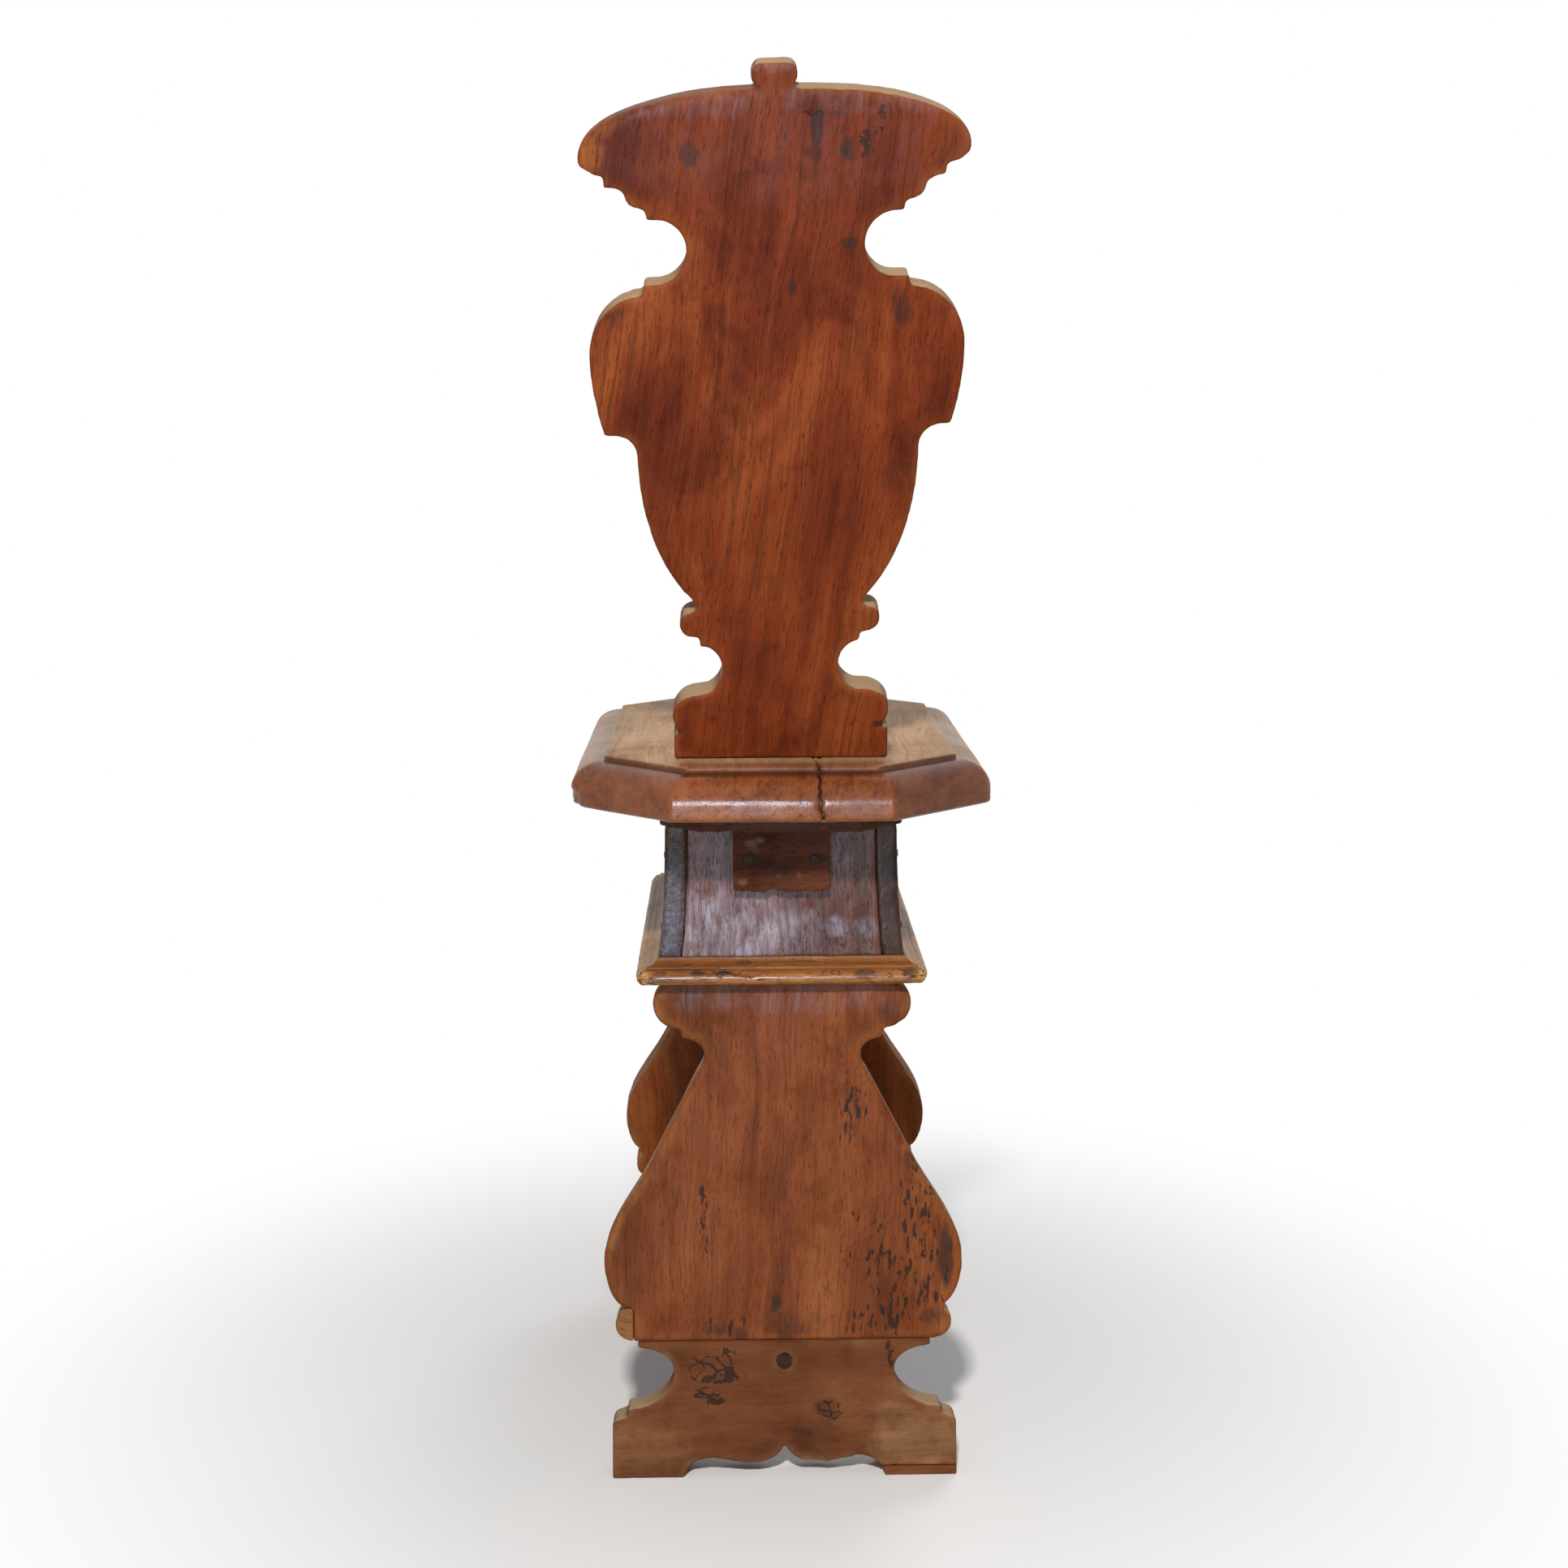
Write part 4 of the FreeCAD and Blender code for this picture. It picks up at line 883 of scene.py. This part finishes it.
def nailing_tree():
    """Geometry Nodes: one nail on every point of a group, along the point's own direction."""
    tree = bpy.data.node_groups.new("nailing", "GeometryNodeTree")
    for name, kind in (("Geometry", "Geometry"), ("Nail", "Object"), ("Least size", "Float"), ("Seed", "Int"),
                       ("Iron", "Material")):
        tree.interface.new_socket(name, in_out="INPUT", socket_type="NodeSocket" + kind)
    tree.interface.new_socket("Geometry", in_out="OUTPUT", socket_type="NodeSocketGeometry")
    given = put(tree, "NodeGroupInput").outputs
    info = put(tree, "GeometryNodeObjectInfo", {"Object": given["Nail"]})
    outward = put(tree, "GeometryNodeInputNamedAttribute", {"Name": "outward"}, data_type="FLOAT_VECTOR")
    stand = put(tree, "FunctionNodeAlignRotationToVector", {"Vector": outward.outputs["Attribute"]}, axis="Z")
    spin = put(tree, "FunctionNodeRandomValue", {"Max": 6.28, "Seed": given["Seed"]}, data_type="FLOAT")
    turn = put(tree, "FunctionNodeAxisAngleToRotation", {"Axis": (0, 0, 1), "Angle": spin.outputs["Value"]})
    turns = {"Rotation": stand.outputs["Rotation"], "Rotate By": turn.outputs["Rotation"]}
    both = put(tree, "FunctionNodeRotateRotation", turns, rotation_space="LOCAL")
    sizes = {"Min": given["Least size"], "Max": 1.0, "Seed": given["Seed"]}
    size = put(tree, "FunctionNodeRandomValue", sizes, data_type="FLOAT")
    each = put(tree, "GeometryNodeInstanceOnPoints", {
        "Points": given["Geometry"], "Instance": info.outputs["Geometry"],
        "Rotation": both.outputs["Rotation"], "Scale": size.outputs["Value"],
    })
    real = put(tree, "GeometryNodeRealizeInstances", {"Geometry": each.outputs["Instances"]})
    coated = {"Geometry": real.outputs["Geometry"], "Material": given["Iron"]}
    coat = put(tree, "GeometryNodeSetMaterial", coated)
    put(tree, "NodeGroupOutput", {"Geometry": coat.outputs["Geometry"]})
    return tree


def grown(mesh, name, tree, values):
    """The plain mesh that a Geometry Nodes tree makes from a starting mesh and its named inputs."""
    holder = bpy.data.objects.new(name, mesh)
    bpy.context.scene.collection.objects.link(holder)
    modifier = holder.modifiers.new(name, "NODES")
    modifier.node_group = tree
    for item in tree.interface.items_tree:
        if item.in_out == "INPUT" and item.name in values:
            modifier[item.identifier] = values[item.name]
    graph = bpy.context.evaluated_depsgraph_get()
    result = bpy.data.meshes.new_from_object(holder.evaluated_get(graph))
    bpy.data.objects.remove(holder)
    return result


def separate_nails(node):
    """The points of each nail in a node, nail by nail."""
    solid = bmesh.new()
    solid.from_mesh(frame["nodes"][node].data)
    bmesh.ops.remove_doubles(solid, verts=solid.verts, dist=1e-6)
    seen = set()
    nails = []
    for vertex in solid.verts:
        if vertex in seen:
            continue
        nail = []
        queue = [vertex]
        seen.add(vertex)
        while queue:
            here = queue.pop()
            nail.append(here.co.copy())
            for link in here.link_edges:
                other = link.other_vert(here)
                if other not in seen:
                    seen.add(other)
                    queue.append(other)
        nails.append(np.array(nail))
    solid.free()
    return nails


def driven_nails(name, node, length, shank, head, seed):
    """Finds where a node's nails are driven and sets a forged nail at each place."""
    places = []
    ways = []
    for nail in separate_nails(node):
        low, high = nail.min(0), nail.max(0)
        axis = int(np.argmax(high - low))
        near = 0.2 * (high - low)[axis]
        ends = [nail[np.abs(nail[:, axis] - stop[axis]) < near] for stop in (low, high)]
        widths = [np.ptp(np.delete(end, axis, 1), axis=0).max() for end in ends]
        sign = 1 if widths[1] > widths[0] else -1
        way = np.zeros(3)
        way[axis] = sign
        place = (high + low) / 2
        place[axis] = (high if sign > 0 else low)[axis] - sign * head_height
        places.append(tuple(place))
        ways.append(way)
    points = bpy.data.meshes.new(name + "_places")
    points.from_pydata(places, [], [])
    outward = points.attributes.new("outward", "FLOAT_VECTOR", "POINT")
    outward.data.foreach_set("vector", np.array(ways).ravel())
    pattern = bpy.data.objects.new(name + "_pattern", one_nail(length, shank, head))
    bpy.context.scene.collection.objects.link(pattern)
    values = {"Nail": pattern, "Least size": 0.9, "Seed": seed, "Iron": iron}
    nails = grown(points, name, nailing, values)
    bpy.data.objects.remove(pattern)
    set_in_place(nails, name, iron, "forged_iron", node)


iron = rusty_iron()
nailing = nailing_tree()
driven_nails("cleat_spikes", "cleat_nails", length=0.042, shank=0.0045, head=0.0090, seed=5)
driven_nails("box_spikes", "box_nails", length=0.040, shank=0.0035, head=0.0070, seed=8)
driven_nails("bottom_spikes", "bottom_nails", length=0.040, shank=0.0035, head=0.0070, seed=13)
driven_nails("moulding_brads", "moulding_pins", length=0.034, shank=0.0018, head=0.0030, seed=21)


# Studio: a plain pale floor and background, a soft key lamp from high behind the camera and an even fill.
# A broad lamp seen in gloss alone gives the wax its shine. The camera stands behind the chair, a little above
# the seat and a little to the sitter's left.
floor_half = 8
fade_start = 0.22
fade_end = 0.80


def shown_rays(tree):
    """One for what is looked at or mirrored, nothing for light on the object."""
    rays = put(tree, "LightPath").outputs
    seen = reckon(tree, "MAXIMUM", rays["Is Camera Ray"], rays["Is Glossy Ray"])
    return reckon(tree, "MAXIMUM", seen, rays["Is Transmission Ray"])


floor_mesh = bpy.data.meshes.new("floor")
floor_corners = [(x * floor_half, y * floor_half, 0) for x, y in ((-1, -1), (1, -1), (1, 1), (-1, 1))]
floor_mesh.from_pydata(floor_corners, [], [(0, 1, 2, 3)])
floor = bpy.data.objects.new("floor", floor_mesh)
bpy.context.scene.collection.objects.link(floor)
floor_paint = bpy.data.materials.new("pale_floor")
floor_paint.use_nodes = True
paint = floor_paint.node_tree
paper = paint.nodes["Principled BSDF"]
paper.inputs["Base Color"].default_value = (0.92, 0.92, 0.92, 1)
paper.inputs["Roughness"].default_value = 0.9
paper.inputs["Specular IOR Level"].default_value = 0.1
floor_place = put(paint, "TexCoord").outputs["Object"]
distance = put(paint, "VectorMath", {0: floor_place}, operation="LENGTH").outputs["Value"]
far_off = times(paint, between(paint, distance, fade_start, fade_end), shown_rays(paint))
glow = put(paint, "Emission", {"Color": (1, 1, 1, 1), "Strength": 1.0})
fade = put(paint, "MixShader", {0: far_off, 1: paper.outputs[0], 2: glow.outputs[0]})
paint.links.new(fade.outputs[0], paint.nodes["Material Output"].inputs["Surface"])
floor_mesh.materials.append(floor_paint)

world = bpy.data.worlds.new("studio")
bpy.context.scene.world = world
world.use_nodes = True
air = world.node_tree
air.nodes.clear()
fill = put(air, "Background", {"Color": (0.93, 0.96, 1.0, 1), "Strength": 0.26})
white = put(air, "Background", {"Color": (1, 1, 1, 1), "Strength": 1.0})
both = put(air, "MixShader", {0: shown_rays(air), 1: fill.outputs[0], 2: white.outputs[0]})
put(air, "OutputWorld", {"Surface": both.outputs[0]})


def lamp(name, place, aim, width, height, power, colour, mirrored):
    """A flat lamp, seen either in gloss alone or in all but gloss."""
    data = bpy.data.lights.new(name, "AREA")
    data.shape = "RECTANGLE"
    data.size = width
    data.size_y = height
    data.energy = power
    data.color = colour
    lamp_object = bpy.data.objects.new(name, data)
    bpy.context.scene.collection.objects.link(lamp_object)
    lamp_object.location = place
    lamp_object.visible_glossy = mirrored
    lamp_object.visible_diffuse = not mirrored
    lamp_object.rotation_euler = (Vector(aim) - Vector(place)).to_track_quat("-Z", "Y").to_euler()


lamp("key", (0.25, 2.7, 2.6), (0, 0.1, 0.5), 0.22, 0.22, 92, (1.0, 0.97, 0.93), False)
lamp("sheen", (0.52, 3.4, 0.72), (0.52, 0.1, 0.72), 1.3, 0.8, 200, (0.74, 0.87, 1.0), True)
lamp("front_fill", (-1.2, -2.6, 2.4), (0, 0, 0.5), 1.4, 1.4, 30, (0.95, 0.97, 1.0), False)

camera_data = bpy.data.cameras.new("camera")
camera_data.sensor_width = 36.0
camera_data.lens = 52.17
camera = bpy.data.objects.new("camera", camera_data)
bpy.context.scene.collection.objects.link(camera)
camera_turn = math.radians(1.227)
camera_pitch = math.radians(9.549)
camera_roll = math.radians(-0.2)
level_sight = Vector((-math.sin(camera_turn), -math.cos(camera_turn), 0))
sight = level_sight * math.cos(camera_pitch) - Vector((0, 0, math.sin(camera_pitch)))
camera.location = (0.035, 1.8789, 0.8385)
camera.rotation_mode = "QUATERNION"
camera.rotation_quaternion = sight.to_track_quat("-Z", "Y") @ Quaternion((0, 0, 1), camera_roll)
bpy.context.scene.camera = camera
bpy.context.scene.view_settings.view_transform = "Standard"
